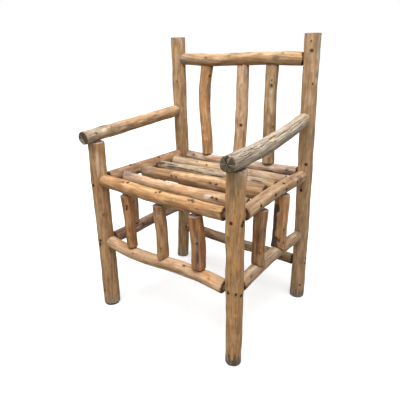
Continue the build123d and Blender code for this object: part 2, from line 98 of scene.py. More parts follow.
POSTS = ("front_left_post", "front_right_post", "rear_left_post", "rear_right_post")
ARMS = ("left_arm", "right_arm")
BACK = ("crest_rail", "back_spindle_1", "back_spindle_2", "back_spindle_3")
SEAT_RAILS = ("front_seat_rail", "rear_seat_rail", "left_seat_rail", "right_seat_rail")
SEAT_SLATS = ("seat_slat_1", "seat_slat_2", "seat_slat_3", "seat_slat_4")
STRETCHERS = ("front_stretcher", "rear_stretcher", "left_stretcher", "right_stretcher")
LOWER_SPINDLES = (
    "front_lower_spindle_1", "front_lower_spindle_2", "front_lower_spindle_3",
    "right_lower_spindle_1", "right_lower_spindle_2",
    "left_lower_spindle_1", "left_lower_spindle_2",
)
NAILS = ("post_nails", "rail_nails", "slat_nails")
BRANCHES = POSTS + ARMS + BACK + SEAT_RAILS + SEAT_SLATS + STRETCHERS + LOWER_SPINDLES

# How angles run around a branch, by the axis that it lies along: where 0 and 90 degrees point.
# Along X: 0 is the front, 90 the top. Along Y: 0 is the right, 90 the top.
# Upright: 0 is the right, 90 the back.
AROUND = {
    0: ((0, -1, 0), (0, 0, 1)),
    1: ((1, 0, 0), (0, 0, 1)),
    2: ((1, 0, 0), (0, 1, 0)),
}

# Each branch's own looks. Places are in millimetres along the branch (x, y or z), and angles in
# degrees around it.
# tone, second: the two colours that the wood drifts between
# patches: place, angle, half length, half width in degrees, colour, amount
# knots: place, angle, radius in millimetres, darkness (below 0: a pale knot)
# weather, bark: place, angle, half length, half width in degrees, amount
# cracks: place, angle, half length, width, depth in millimetres
# swells: place, angle, half length, half width in degrees, height in mm (below 0: a hollow)
# clefts: drying cracks in the sawn end: angle, reach as a share of the radius, depth in
#   millimetres, bend (where there are none, they are drawn at random)
# These four are for the low end and then the high end:
# rims: how far the end is rounded over, inwards and along, in millimetres
# bare: how far the fresh cut runs up the branch, in millimetres
# fresh: how much of the shoulder around a tenon is clean sawn wood
# grime: painted shade, how dark the wood is made against the shoulder, on its tenon and next to it,
# where the branch meets the next part
# PLAIN holds where a branch's own look says nothing, and like branches share their ends.
PLAIN = dict(patches=(), knots=(), weather=(), bark=(), cracks=(), swells=(), clefts=(),
             rims=((2, 2), (2, 2)), bare=(2, 2), fresh=(0.25, 0.25), joint_shade=(1, 1))
SLAT_ENDS = dict(rims=((6, 7), (2, 2)))
BACK_SPINDLE_ENDS = dict(rims=((2, 2), (1.2, 1.2)), bare=(2, 1))
LOWER_SPINDLE_ENDS = dict(rims=((3, 4), (1.2, 1.2)), bare=(2, 1), fresh=(0.25, 1), joint_shade=(1, 0))
LOOKS = {
    "front_left_post": dict(
        tone="c99f70", second="ae8a63",
        patches=[
            (519, -40, 45, 20, "e3d0b4", 0.55), (499, -5, 60, 14, "dcc6a4", 0.5),
            (560, -70, 30, 25, "8d7258", 0.5), (440, -60, 60, 16, "b07f4e", 0.5),
            (340, -80, 70, 18, "d9b98c", 0.4), (300, -20, 90, 20, "9a7b58", 0.4),
            (150, -60, 80, 26, "c09a70", 0.5), (120, -95, 50, 20, "9c8468", 0.5),
        ],
        knots=[(61, -93, 3.0, 1.0), (236, -88, 2.5, 0.8), (350, -40, 5, 0.5), (470, -110, 5, 0.6)],
        weather=[(0, 0, 46, 400, 1.0), (616, 0, 10, 400, 0.5)],
        rims=((5, 8), (1.8, 1.8)), bare=(3, 1), fresh=(1, 1), joint_shade=(0, 0),
    ),
    "front_right_post": dict(
        tone="d0a06a", second="b48e62",
        patches=[
            (581, 0, 60, 16, "e6dcc8", 0.75), (540, 8, 70, 12, "d8ccb4", 0.6),
            (560, -60, 50, 40, "948267", 0.7), (500, -95, 40, 30, "8a7459", 0.5),
            (430, -30, 60, 22, "b58a5a", 0.5), (376, -49, 50, 20, "c8a478", 0.4),
            (248, -54, 24, 14, "8f7a60", 0.6), (200, -40, 70, 26, "c9a06c", 0.5),
            (175, -54, 6, 10, "ead9bd", 0.8), (130, -20, 50, 22, "a98558", 0.5),
            (0, 0, 42, 400, "6b5e49", 1.0),
        ],
        knots=[
            (480, -63, 3.0, 0.4), (243, -50, 3.0, 0.9), (252, -62, 2.5, -0.4), (405, -100, 5, 0.5),
        ],
        weather=[(0, 0, 46, 400, 0.45), (600, -40, 40, 60, 0.5)],
        rims=((2.5, 3.5), (1.8, 1.8)), bare=(2, 1), fresh=(1, 1), joint_shade=(0, 0),
    ),
    "rear_left_post": dict(
        tone="c4a075", second="aa8862",
        patches=[
            (880, -28, 40, 18, "ddc9a8", 0.5), (800, -60, 90, 14, "a58d70", 0.6),
            (820, -20, 80, 12, "d0a66e", 0.5), (700, -90, 80, 18, "cfae80", 0.45),
            (640, -40, 90, 12, "94806a", 0.5), (560, -110, 60, 22, "b59066", 0.5),
            (400, -50, 100, 22, "a88660", 0.4), (200, -60, 90, 22, "8e755a", 0.5),
        ],
        knots=[(742, -70, 5, 0.6), (598, -12, 4, 0.5), (330, -60, 5, 0.6)],
        weather=[(0, 0, 70, 400, 0.9), (898, 0, 26, 400, 0.5), (700, 10, 130, 30, 0.4)],
        rims=((2, 3), (2.5, 3)),
    ),
    "rear_right_post": dict(
        tone="c5a178", second="ab8d6a",
        patches=[
            (840, -15, 90, 16, "ded2c0", 0.7), (706, -59, 40, 16, "d8c3a0", 0.55),
            (800, -90, 80, 18, "a8916f", 0.5), (640, -80, 80, 18, "b18b60", 0.5),
            (560, -40, 70, 16, "93806a", 0.5), (430, -60, 60, 20, "c29a68", 0.5),
            (300, -70, 80, 18, "a3865f", 0.5), (156, -48, 40, 20, "8b7055", 0.5),
            (0, 0, 40, 400, "706350", 0.95),
        ],
        knots=[
            (874, -78, 2.4, 0.9), (753, -50, 2.9, 0.9), (778, -134, 4, 0.6), (54, -48, 3, 0.8),
            (620, -100, 5, 0.4),
        ],
        weather=[(0, 0, 56, 400, 0.55), (860, 0, 60, 40, 0.5), (898, 0, 18, 400, 0.4)],
        rims=((2, 3), (2.5, 3)),
    ),
    "left_arm": dict(
        tone="c0a07b", second="a38668",
        patches=[
            (-182, 33, 18, 22, "e4d6bd", 0.8), (-222, 62, 18, 18, "d9cbb0", 0.6),
            (-184, 94, 62, 32, "5c4d3e", 1.0), (-112, 90, 56, 22, "6f5d49", 0.85),
            (-130, 18, 26, 30, "85705c", 0.6), (-90, 80, 50, 26, "d2ac7c", 0.5),
            (20, 60, 90, 28, "d4ab7d", 0.5), (120, 20, 70, 24, "b78d62", 0.5),
            (200, 60, 40, 50, "ddb98a", 0.6), (-60, 0, 60, 24, "9d7c5d", 0.5),
        ],
        knots=[(-212, 27, 3.2, 1.0), (-155, 45, 6, -0.4), (-150, 40, 4, 0.7), (60, 30, 5, 0.4)],
        weather=[(-250, 60, 90, 180, 1.0), (-130, 40, 60, 80, 0.5)],
        cracks=[
            (-240, 60, 26, 0.9, 1.6), (-232, 20, 22, 0.8, 1.2), (-200, 95, 34, 0.8, 1.2),
            (-226, -20, 24, 0.8, 1.2),
        ],
        clefts=[
            (70, 0.9, 1.8, 0.2), (150, 0.7, 1.4, -0.2), (-40, 0.8, 1.6, 0.3), (-120, 0.6, 1.2, 0.1),
            (10, 0.5, 1.0, 0),
        ],
        rims=((2.6, 2.6), (6, 8)), bare=(1, 3),
    ),
    "right_arm": dict(
        tone="bcad95", second="a08e76",
        patches=[
            (-190, 60, 60, 22, "e6dcc8", 0.6), (-128, 24, 50, 22, "ddcfb8", 0.6),
            (-60, 50, 50, 26, "d8c9ae", 0.6), (-230, 90, 26, 60, "8a7866", 0.6),
            (-160, -20, 80, 24, "9c866c", 0.5), (100, 40, 70, 60, "c2ab8c", 0.7),
            (190, 50, 40, 90, "bb9c76", 0.6), (-20, 0, 70, 22, "a58d70", 0.5),
            (-40, 66, 60, 9, "715b46", 0.85), (30, 54, 60, 9, "78624c", 0.85),
            (88, 38, 60, 9, "7f6a54", 0.8), (148, 54, 40, 9, "846e58", 0.75),
            (66, 24, 60, 9, "ecdfc8", 0.7), (0, 40, 50, 8, "ecdfc6", 0.7),
            (-150, 32, 60, 8, "6e5a48", 0.8), (-205, 50, 40, 8, "6e5a48", 0.8),
            (-110, 62, 50, 8, "f0e4cf", 0.7),
        ],
        knots=[(-40, 30, 3, 0.6), (60, 48, 3.4, 0.5)],
        weather=[(-262, 50, 34, 400, 1.0), (-150, 50, 190, 150, 0.9), (70, 40, 170, 140, 0.85)],
        cracks=[
            (-235, 108, 62, 2.2, 4.2), (-205, 72, 46, 1.1, 2.6), (-160, 60, 60, 1.2, 2.8),
            (-118, 44, 50, 1.0, 2.4), (-190, 38, 40, 0.9, 2.0), (-75, 58, 44, 0.9, 2.0),
            (-225, 95, 30, 0.9, 2.0), (-140, 88, 50, 0.9, 2.2), (-55, 30, 46, 0.8, 1.6),
            (-170, 20, 40, 0.8, 1.6), (-20, 62, 30, 0.7, 1.4), (-215, 10, 34, 0.8, 1.6),
            (-100, 0, 46, 0.8, 1.4), (20, 48, 50, 0.9, 1.8), (72, 34, 50, 0.9, 1.8),
            (112, 58, 46, 0.8, 1.6), (152, 40, 40, 0.8, 1.4), (40, 14, 50, 0.8, 1.4),
            (104, 8, 46, 0.8, 1.4),
        ],
        clefts=[
            (108, 1.0, 3.4, 0.5), (-75, 0.62, 2.8, 0.4), (200, 0.5, 1.6, 0.2), (15, 0.7, 1.4, -0.2),
        ],
        rims=((2.6, 2.6), (6, 8)), bare=(1, 2),
    ),
    "crest_rail": dict(
        tone="b99974", second="9f805c",
        patches=[
            (-218, 0, 40, 40, "8f8070", 0.7), (-160, -15, 50, 30, "9c8264", 0.6),
            (-125, 28, 8, 16, "8e5c30", 0.7), (-44, -9, 40, 22, "8a6440", 0.5),
            (40, 10, 50, 18, "b98250", 0.5), (100, 60, 80, 30, "e6c595", 0.5),
            (-80, 70, 80, 30, "e8c796", 0.5), (220, 30, 36, 40, "c99a62", 0.5),
            (148, 8, 20, 40, "6e5a45", 0.85),
        ],
        knots=[(166, 50, 3.6, 0.6), (-125, 28, 3, 0.7), (-28, 30, 4, 0.4)],
        weather=[(-235, -20, 40, 70, 0.7)],
        rims=((5, 5), (2, 2)),
    ),
    "back_spindle_1": dict(
        tone="cf9f70", second="b5885c",
        patches=[
            (725, -26, 26, 16, "8f8a88", 0.7), (712, -100, 18, 26, "a39a8c", 0.5),
            (580, -88, 7, 18, "ead5b0", 0.8), (553, -88, 6, 16, "e6d0ac", 0.7),
            (640, -60, 70, 20, "d9a766", 0.5), (500, -40, 50, 22, "a2713f", 0.5),
            (790, -70, 30, 30, "b98a5c", 0.5),
        ],
        knots=[(765, -18, 3.6, 1.0), (650, -20, 4, 0.5), (530, -60, 4.5, 0.5)],
        bark=[(680, 10, 60, 16, 0.45)],
        **BACK_SPINDLE_ENDS,
    ),
    "back_spindle_2": dict(
        tone="dfbd98", second="c2a07d",
        patches=[
            (647, -55, 14, 22, "e8d6b6", 0.8), (616, -93, 26, 30, "99704a", 0.6),
            (700, -20, 80, 14, "dcbc8e", 0.6), (780, -30, 40, 26, "958270", 0.5),
            (540, -30, 50, 18, "b78a58", 0.5),
        ],
        knots=[(606, -61, 3.8, 1.0), (740, -70, 4, 0.5)],
        **BACK_SPINDLE_ENDS,
    ),
    "back_spindle_3": dict(
        tone="c0a178", second="a18562",
        patches=[
            (723, -64, 16, 24, "e2d2b4", 0.65), (686, -58, 46, 24, "d9c6a5", 0.6),
            (640, -72, 26, 20, "d6c19c", 0.55), (600, -20, 60, 22, "a67c50", 0.5),
            (790, -60, 30, 30, "b08c66", 0.5), (540, -90, 40, 30, "94744f", 0.5),
        ],
        knots=[
            (759, -61, 5.5, -0.75), (743, -58, 2.8, 1.0), (516, -65, 5.5, -0.75),
            (610, -30, 3.6, 0.7),
        ],
        cracks=[(690, -52, 34, 0.8, 0.8), (668, -66, 26, 0.8, 0.7), (640, -76, 20, 0.7, 0.7)],
        **BACK_SPINDLE_ENDS,
    ),
    "front_seat_rail": dict(
        tone="d0a473", second="b08658",
        patches=[
            (-150, 0, 60, 28, "a87244", 0.5), (-115, 2, 16, 20, "dcc29c", 0.5),
            (30, 70, 90, 26, "e2b67c", 0.5), (120, 20, 40, 26, "b5804c", 0.5),
            (192, 15, 26, 30, "8e6c4e", 0.6), (-215, 50, 30, 30, "c6a27c", 0.5),
            (230, 60, 30, 40, "d8b07e", 0.5),
        ],
        knots=[
            (69, 35, 3.6, -0.5), (-198, 55, 2.2, 0.45), (-137, 65, 2.6, 0.8), (-3, 58, 2.6, 0.8),
            (115, 66, 3.0, 1.0), (130, 60, 2.8, 1.0), (150, 10, 4, 0.5),
        ],
        rims=((5, 5), (2, 2)),
    ),
    "rear_seat_rail": dict(
        tone="d0b498", second="b09985",
        patches=[
            (-157, 12, 26, 40, "d9c6b4", 0.75), (-211, 55, 30, 40, "8b6a4a", 0.7),
            (-100, 30, 30, 30, "a3795a", 0.5), (124, -17, 30, 40, "8d7868", 0.7),
            (170, 10, 26, 40, "a8927c", 0.5), (218, -20, 26, 40, "70594a", 0.7),
        ],
        knots=[(-190, 30, 4, 0.8), (150, -10, 4, 0.7), (205, 20, 3.6, 0.7)],
        bark=[(150, -30, 60, 26, 0.5)],
    ),
    "left_seat_rail": dict(
        tone="bc9a76", second="997a61",
        patches=[
            (25, 63, 60, 30, "a56f48", 0.6), (-120, 40, 60, 26, "8c6a54", 0.6),
            (-170, 80, 30, 40, "b99a80", 0.5), (120, 50, 60, 26, "c99a68", 0.5),
        ],
        knots=[(-70, 69, 3.4, 0.9), (72, 61, 3.4, 0.9)],
    ),
    "right_seat_rail": dict(
        tone="c9a784", second="aa8968",
        patches=[
            (-83, 76, 30, 10, "7d5a3c", 0.6), (-44, 61, 26, 18, "e0c398", 0.5),
            (-120, 20, 50, 22, "dcbd90", 0.5), (30, 40, 70, 16, "e2c8a0", 0.5),
            (143, 33, 26, 50, "7e6654", 0.75), (90, 0, 60, 24, "b88a5c", 0.5),
            (190, 30, 20, 60, "a88a6c", 0.5), (-175, 30, 16, 60, "8c6846", 0.5),
        ],
        knots=[(143, 40, 3.0, 0.3), (-110, 30, 3, 0.5), (96, 62, 3.4, 0.7)],
        rims=((3, 3), (2, 2)), bare=(3, 2),
    ),
    "seat_slat_1": dict(
        tone="cfb08e", second="b5906c",
        patches=[
            (-211, 80, 34, 70, "8f8188", 0.8), (-170, 50, 26, 40, "9a847c", 0.6),
            (-60, 70, 80, 26, "e2bb94", 0.6), (115, 20, 24, 34, "eadfce", 0.8),
            (30, 40, 60, 24, "d8a77c", 0.5), (200, 50, 50, 50, "caa27a", 0.5),
        ],
        knots=[
            (131, 27, 3.6, 1.0), (147, 22, 3.0, 0.9), (-205, 95, 2.4, 0.9), (-220, 70, 2.4, 0.9),
            (-190, 75, 2.2, 0.8),
        ],
        swells=[(135, 110, 150, 70, 1.6), (-125, 102, 110, 65, -2.2), (-83, 104, 20, 60, 2.4)],
        **SLAT_ENDS,
    ),
    "seat_slat_2": dict(
        tone="b28d66", second="987351",
        patches=[
            (-190, 40, 46, 60, "8e7a68", 0.75), (-74, 21, 22, 14, "7a5c44", 0.6),
            (0, 60, 90, 24, "e4be90", 0.55), (60, 70, 40, 30, "dcb485", 0.5),
            (160, 40, 50, 40, "c09266", 0.5),
        ],
        knots=[(-86, 23, 2.6, 0.9), (-66, 19, 2.4, 0.8), (65, 24, 2.8, 0.9), (86, 19, 3.0, 0.9)],
        cracks=[(-76, 21, 14, 1.0, 0.6), (90, 19, 13, 1.3, 0.7)],
        swells=[(135, -40, 150, 80, 1.8), (-125, -45, 110, 75, -2.4)],
        **SLAT_ENDS,
    ),
    "seat_slat_3": dict(
        tone="bba17e", second="a08665",
        patches=[
            (-168, 36, 24, 8, "e6c680", 0.8), (-128, 46, 30, 9, "e6c680", 0.8),
            (-78, 36, 26, 8, "eaca88", 0.8), (-20, 44, 34, 8, "e2cb98", 0.7),
            (28, 20, 26, 8, "e4be7a", 0.8), (110, 62, 50, 16, "ded0bc", 0.6),
            (211, 40, 40, 50, "c29868", 0.5),
        ],
        knots=[(-20, 80, 3, 0.5), (140, 40, 4, 0.7)],
        weather=[(-150, 50, 130, 70, 0.85), (0, 30, 150, 50, 0.8), (150, 30, 110, 70, 0.8)],
        bark=[
            (-208, 50, 26, 30, 0.6), (-160, 50, 34, 14, 0.62), (-150, 24, 40, 13, 0.62),
            (-98, 22, 40, 12, 0.6), (-45, 14, 46, 11, 0.56), (40, 6, 50, 14, 0.58),
            (8, 52, 30, 9, 0.5), (128, 52, 20, 10, 0.52), (180, 36, 24, 14, 0.52),
        ],
        cracks=[
            (-160, 42, 50, 0.9, 0.9), (-100, 24, 60, 0.9, 0.9), (-30, 30, 60, 0.8, 0.7),
            (50, 14, 60, 0.8, 0.7), (140, 34, 50, 0.9, 0.8), (185, 14, 40, 0.8, 0.7),
        ],
        **SLAT_ENDS,
    ),
    "seat_slat_4": dict(
        tone="c2aa90", second="ab8f72",
        patches=[
            (-60, 60, 70, 30, "deb27a", 0.5), (80, 50, 60, 30, "d6a873", 0.5),
            (200, 40, 40, 60, "c6a078", 0.5), (20, 10, 60, 24, "9d6f44", 0.5),
        ],
        knots=[(-106, 52, 2.6, 1.0), (-60, 40, 2.4, 0.9), (120, 50, 4, 0.5)],
        rims=((6, 7), (4, 4)), bare=(2, 3),
    ),
    "front_stretcher": dict(
        tone="dab690", second="bf9a75",
        patches=[
            (-60, 55, 40, 30, "b7a58c", 0.6), (-150, 60, 50, 30, "c79a66", 0.5),
            (169, 53, 50, 40, "d98f42", 0.5), (94, 59, 14, 16, "9b8470", 0.6),
            (209, 19, 40, 10, "e8c79a", 0.6), (20, 80, 50, 20, "e6bd82", 0.5),
            (-215, 40, 26, 50, "b18a60", 0.5), (60, -10, 120, 16, "7f5632", 0.5),
        ],
        knots=[(44, 57, 4.6, -0.45), (94, 59, 3.4, 1.0), (185, 40, 4, 0.5), (-110, 30, 4, 0.5)],
        cracks=[
            (20, -18, 90, 0.9, 1.2), (150, -10, 60, 0.9, 1.2), (-130, -8, 60, 0.8, 1.0),
            (200, 4, 40, 0.8, 1.0),
        ],
        rims=((5, 6), (1.2, 1.4)),
    ),
    "rear_stretcher": dict(
        tone="9c825c", second="7d6347",
        patches=[
            (-61, 19, 70, 20, "a48c74", 0.5), (77, -19, 70, 20, "b9a088", 0.5),
            (206, 11, 30, 30, "96785a", 0.5), (242, 0, 20, 60, "8a7868", 0.6),
            (10, 60, 80, 20, "c2a888", 0.5),
        ],
        knots=[(206, 11, 3, 0.8), (-100, 20, 4.4, 0.7), (120, 20, 4, 0.6)],
        weather=[(0, 30, 280, 120, 0.4)],
        rims=((2, 2), (3, 3)),
    ),
    "left_stretcher": dict(
        tone="c39f84", second="9b7b67",
        patches=[
            (-8, 7, 60, 26, "74564e", 0.6), (-120, 50, 60, 30, "8a6c60", 0.5),
            (110, 40, 60, 30, "93745e", 0.5),
        ],
        knots=[(-40, 30, 4, 0.7), (70, 50, 4, 0.7)],
        bark=[(-150, 40, 120, 80, 0.42), (20, 20, 120, 60, 0.45), (160, 60, 80, 60, 0.4)],
    ),
    "right_stretcher": dict(
        tone="c7ac8c", second="a88b6c",
        patches=[
            (-110, 70, 60, 20, "d9c2aa", 0.6), (-23, 61, 60, 14, "ddc8b2", 0.6),
            (60, 50, 70, 18, "b39780", 0.5), (-60, 20, 90, 22, "a8876c", 0.5),
            (190, 50, 30, 60, "93857b", 0.7), (-170, 40, 24, 50, "b08c6a", 0.5),
            (-20, 40, 60, 20, "857263", 0.5),
        ],
        knots=[(-140, 40, 4, 0.6), (20, 30, 4, 0.5)],
        weather=[(0, 60, 220, 60, 0.4)],
        cracks=[(-60, 50, 60, 0.8, 0.8), (60, 70, 60, 0.8, 0.8)],
    ),
    "front_lower_spindle_1": dict(
        tone="c08c57", second="9b6c43",
        patches=[(330, -70, 40, 26, "cc9a64", 0.5), (290, -30, 40, 26, "8c5f3c", 0.5)],
        knots=[(402, -46, 3.4, 1.0), (394, -54, 3.0, 1.0), (300, -80, 4, 0.5)],
        **LOWER_SPINDLE_ENDS,
    ),
    "front_lower_spindle_2": dict(
        tone="bf9768", second="9e754e",
        patches=[
            (400, -50, 30, 24, "d5b184", 0.5), (330, -30, 40, 24, "9f7650", 0.5),
            (280, -70, 30, 26, "c79c6a", 0.5),
        ],
        knots=[(360, -40, 3, 0.5), (300, -60, 4, 0.5)],
        **LOWER_SPINDLE_ENDS,
    ),
    "front_lower_spindle_3": dict(
        tone="c28c5a", second="9c6a44",
        patches=[
            (400, -100, 40, 26, "cf9c66", 0.5), (330, -110, 50, 24, "b98452", 0.5),
            (350, -58, 92, 15, "665650", 0.95),
        ],
        knots=[(432, -60, 3.0, -0.55), (356, -62, 2.6, 1.0), (300, -120, 4, 0.6)],
        weather=[(350, -58, 90, 13, 0.5)],
        cracks=[(350, -58, 70, 1.0, 0.4)],
        **LOWER_SPINDLE_ENDS,
    ),
    "right_lower_spindle_1": dict(
        tone="b98d60", second="916a47",
        patches=[
            (368, -20, 14, 16, "8c8790", 0.75), (340, -70, 70, 30, "7a543a", 0.7),
            (340, 10, 70, 20, "d2ac80", 0.6), (270, -30, 30, 26, "a47a54", 0.5),
        ],
        knots=[(377, -12, 2.4, 0.9), (310, -50, 4, 0.6)],
        **LOWER_SPINDLE_ENDS,
    ),
    "right_lower_spindle_2": dict(
        tone="d4a26e", second="b2845b",
        patches=[(360, 0, 60, 20, "d4b694", 0.5), (280, -10, 40, 24, "b48e6c", 0.5)],
        knots=[(332, -36, 2.8, 0.9), (289, -24, 2.8, 0.9), (400, 0, 3, 0.5)],
        bark=[(330, -134, 130, 56, 1.0), (272, -127, 90, 66, 1.0)],
        **LOWER_SPINDLE_ENDS,
    ),
    "left_lower_spindle_1": dict(
        tone="b38c67", second="8c6b50",
        patches=[(330, -30, 50, 26, "93755a", 0.5), (400, -60, 30, 30, "b7936c", 0.5)],
        knots=[(350, -40, 3, 0.6)],
        **LOWER_SPINDLE_ENDS,
    ),
    "left_lower_spindle_2": dict(
        tone="9c8068", second="7a6250",
        patches=[(330, -60, 50, 26, "857060", 0.5), (280, -30, 30, 26, "a58a6e", 0.5)],
        knots=[(340, -60, 3, 0.6)],
        weather=[(330, -40, 90, 70, 0.5)],
        **LOWER_SPINDLE_ENDS,
    ),
}


def linear(colour):
    """A colour written as six hex digits, as the renderer's linear red, green and blue."""
    shares = [int(colour[place:place + 2], 16) / 255 for place in (0, 2, 4)]
    return np.array([share / 12.92 if share <= 0.04045 else ((share + 0.055) / 1.055) ** 2.4
                     for share in shares])


def smooth(value):
    """0 to 1 with soft ends."""
    value = np.clip(value, 0, 1)
    return value * value * (3 - 2 * value)


# A random field is a sum of waves, whose lengths differ by these factors at the most. It seldom
# rises further than its peak, in terms of what waves of this number usually add up to.
WAVES = 14
WAVE_FACTORS = (0.6, 1.4)
FIELD_PEAK = 1.6


def ripple(places, across, along, seed):
    """A soft random field over points (two coordinates across, one along), about -1 to 1."""
    draw = np.random.default_rng(seed)
    total = np.zeros(places.shape[:-1])
    for _ in range(WAVES):
        heading = draw.normal(size=3)
        heading /= np.linalg.norm(heading)
        heading *= TURN / np.array([across, across, along])
        total += np.cos(places @ heading * draw.uniform(*WAVE_FACTORS) + draw.uniform(0, TURN))
    return total / math.sqrt(WAVES / 2) / FIELD_PEAK


def angle_gap(one, two):
    """The signed gap between two angles, in radians."""
    return (one - two + math.pi) % TURN - math.pi


def mesh_points(mesh):
    """A mesh's vertices, one in a row."""
    points = np.empty(len(mesh.vertices) * 3)
    mesh.vertices.foreach_get("co", points)
    return points.reshape(-1, 3)


def mesh_triangles(mesh):
    """The corners of a mesh's triangles, one triangle in a row."""
    mesh.calc_loop_triangles()
    triangles = np.empty(len(mesh.loop_triangles) * 3, dtype=np.int32)
    mesh.loop_triangles.foreach_get("vertices", triangles)
    return triangles.reshape(-1, 3)


# ---------------------------------------------------------------- measuring a branch on its solid

class Branch:
    """The middle line, thickness and end faces of one branch, read from its solid."""

    STATION = 0.006        # spacing of the sections that are measured
    FIRST_STATION = 0.002  # how far inside the solid the first of them is
    END_MARGIN = 0.014     # sections nearer to an end face than this are left out
    FULL = 0.8             # a section under this share of the usual radius is through a tenon
    SECTORS = 48           # directions in which a section's outermost points are looked for
    FEWEST = 6             # points that a circle needs
    ROUND_LIMITS = (1.0, 0.002, 0.0006)      # how far off the circle a point may be, fit by fit
    BEND_DEGREE, TAPER_DEGREE = 6, 2
    OUTLIER = 2.5          # a measure this many times further off than the usual one is left out
    BODY_LIMIT = 0.0005    # and is kept if it is no further off than this
    FACE_LIMIT = 0.0003
    TENON_STEP = 0.012     # an end that goes on by more than this past its body is a tenon
    TENON_INSET = 0.003    # where a tenon's own section is, from its tip
    FACE_RUN = 0.026       # how far inside the branch the look at its end face starts
    FACE_REACH = 0.09      # how far that look goes
    FACE_DEPTH = 0.014     # how far a point of an end face may be from its middle one
    FACE_TURNS = 36
    CORE_SHARES = (0.1, 0.4)                 # where an end face is looked at, in radii
    SHOULDER_SHARES = (0.66, 0.76, 0.86)
    HEADING_STEP = 0.005
    OVERRUN = 0.03         # how far past its ends the middle line is followed
    LOOKUPS = 200          # points on it that places are looked up from

    def __init__(self, node):
        mesh = frame["nodes"][node].data
        self.points = mesh_points(mesh)
        self.triangles = mesh_triangles(mesh)
        self.tree = BVHTree.FromPolygons(self.points.tolist(), self.triangles.tolist())
        self.axis = int(np.argmax(np.ptp(self.points, axis=0)))
        self.along = np.eye(3)[self.axis]
        self.set_sides()
        low, high = self.reach()
        quarter = (high - low) / 4
        ends = [self.spot(low + quarter * share) for share in (1, 3)]
        heading = ends[1] - ends[0]
        self.along = heading / np.linalg.norm(heading)
        self.set_sides()
        self.measure_body()
        self.ends = [self.measure_end(sign) for sign in (-1, 1)]

    def set_sides(self):
        """The directions of angles 0 and 90 degrees, square to the branch."""
        side, up = (np.array(direction, float) for direction in AROUND[self.axis])
        side -= (side @ self.along) * self.along
        self.side = side / np.linalg.norm(side)
        up -= (up @ self.along) * self.along + (up @ self.side) * self.side
        self.up = up / np.linalg.norm(up)

    def reach(self):
        """Where the solid starts and ends along the branch."""
        heights = self.points @ self.along
        return heights.min(), heights.max()

    def section(self, place):
        """Centre and radius of the round outline that a cut shows there, without its bores."""
        heights = self.points @ self.along - place
        cuts = []
        for first, second in ((0, 1), (1, 2), (2, 0)):
            one, two = self.triangles[:, first], self.triangles[:, second]
            crossing = (heights[one] > 0) != (heights[two] > 0)
            one, two = one[crossing], two[crossing]
            share = heights[one] / (heights[one] - heights[two])
            cuts.append(self.points[one] + share[:, None] * (self.points[two] - self.points[one]))
        cuts = np.concatenate(cuts)
        flat = np.stack([cuts @ self.side, cuts @ self.up], axis=1)
        centre = (flat.min(axis=0) + flat.max(axis=0)) / 2
        radius = 0.0
        for allowed in self.ROUND_LIMITS:
            offset = flat - centre
            distance = np.hypot(offset[:, 0], offset[:, 1])
            turned = np.arctan2(offset[:, 1], offset[:, 0]) / TURN + 0.5
            sector = (turned * self.SECTORS).astype(int) % self.SECTORS
            outermost = np.full(self.SECTORS, -1)
            order = np.argsort(distance)
            outermost[sector[order]] = order
            chosen = outermost[outermost >= 0]
            if radius:
                chosen = chosen[np.abs(distance[chosen] - radius) < allowed]
            if len(chosen) < self.FEWEST:
                break
            x, y = flat[chosen].T
            terms = np.stack([2 * x, 2 * y, np.ones_like(x)], axis=1)
            a, b, c = np.linalg.lstsq(terms, x * x + y * y, rcond=None)[0]
            centre = np.array([a, b])
            radius = math.sqrt(max(c + a * a + b * b, 0))
        return centre, radius

    def spot(self, place):
        """The point on the middle line where one section is."""
        centre, _ = self.section(place)
        return place * self.along + centre[0] * self.side + centre[1] * self.up

    def measure_body(self):
        """Fits the middle line and the thickness to sections along the branch."""
        low, high = self.reach()
        places = np.arange(low + self.FIRST_STATION, high, self.STATION)
        rounds = [self.section(place) for place in places]
        centres = np.array([centre for centre, _ in rounds])
        radii = np.array([radius for _, radius in rounds])
        full = radii > self.FULL * np.median(radii)
        self.first, self.last = places[full][0], places[full][-1]
        inside = full & (places > self.first + self.END_MARGIN)
        inside &= places < self.last - self.END_MARGIN
        self.middle = (self.first + self.last) / 2
        self.half = (self.last - self.first) / 2
        share = (places - self.middle) / self.half
        for _ in range(3):
            self.bend = np.polyfit(share[inside], centres[inside], self.BEND_DEGREE)
            self.taper = np.polyfit(share[inside], radii[inside], self.TAPER_DEGREE)
            missed = np.abs(np.stack(self.centre(places), axis=1) - centres).max(axis=1)
            missed = np.maximum(missed, np.abs(self.radius(places) - radii))
            inside &= missed < max(self.BODY_LIMIT, self.OUTLIER * np.median(missed[inside]))

    def centre(self, place):
        """The middle line's offset to the side and up, at places along the branch."""
        share = (np.asarray(place) - self.middle) / self.half
        return np.polyval(self.bend[:, 0], share), np.polyval(self.bend[:, 1], share)

    def radius(self, place):
        """The branch's radius at places along it."""
        return np.polyval(self.taper, (np.asarray(place) - self.middle) / self.half)

    def point(self, place, distance, angle, centre=None):
        """A point at this place along the branch, this far from the middle line and turned so."""
        side, up = self.centre(place) if centre is None else centre
        side = side + distance * np.cos(angle)
        up = up + distance * np.sin(angle)
        return (np.asarray(place)[..., None] * self.along + np.asarray(side)[..., None] * self.side
                + np.asarray(up)[..., None] * self.up)

    @staticmethod
    def sheet_terms(share, angle):
        """The shapes that an end face is put together from: flat, leaning, hollowed."""
        share, angle = np.broadcast_arrays(share, angle)
        return np.stack([
            np.ones_like(share), share * np.cos(angle), share * np.sin(angle),
            share ** 2, share ** 2 * np.cos(2 * angle), share ** 2 * np.sin(2 * angle),
            share ** 4, share ** 4 * np.cos(2 * angle), share ** 4 * np.sin(2 * angle),
            share ** 4 * np.cos(4 * angle), share ** 4 * np.sin(4 * angle),
        ], axis=-1)

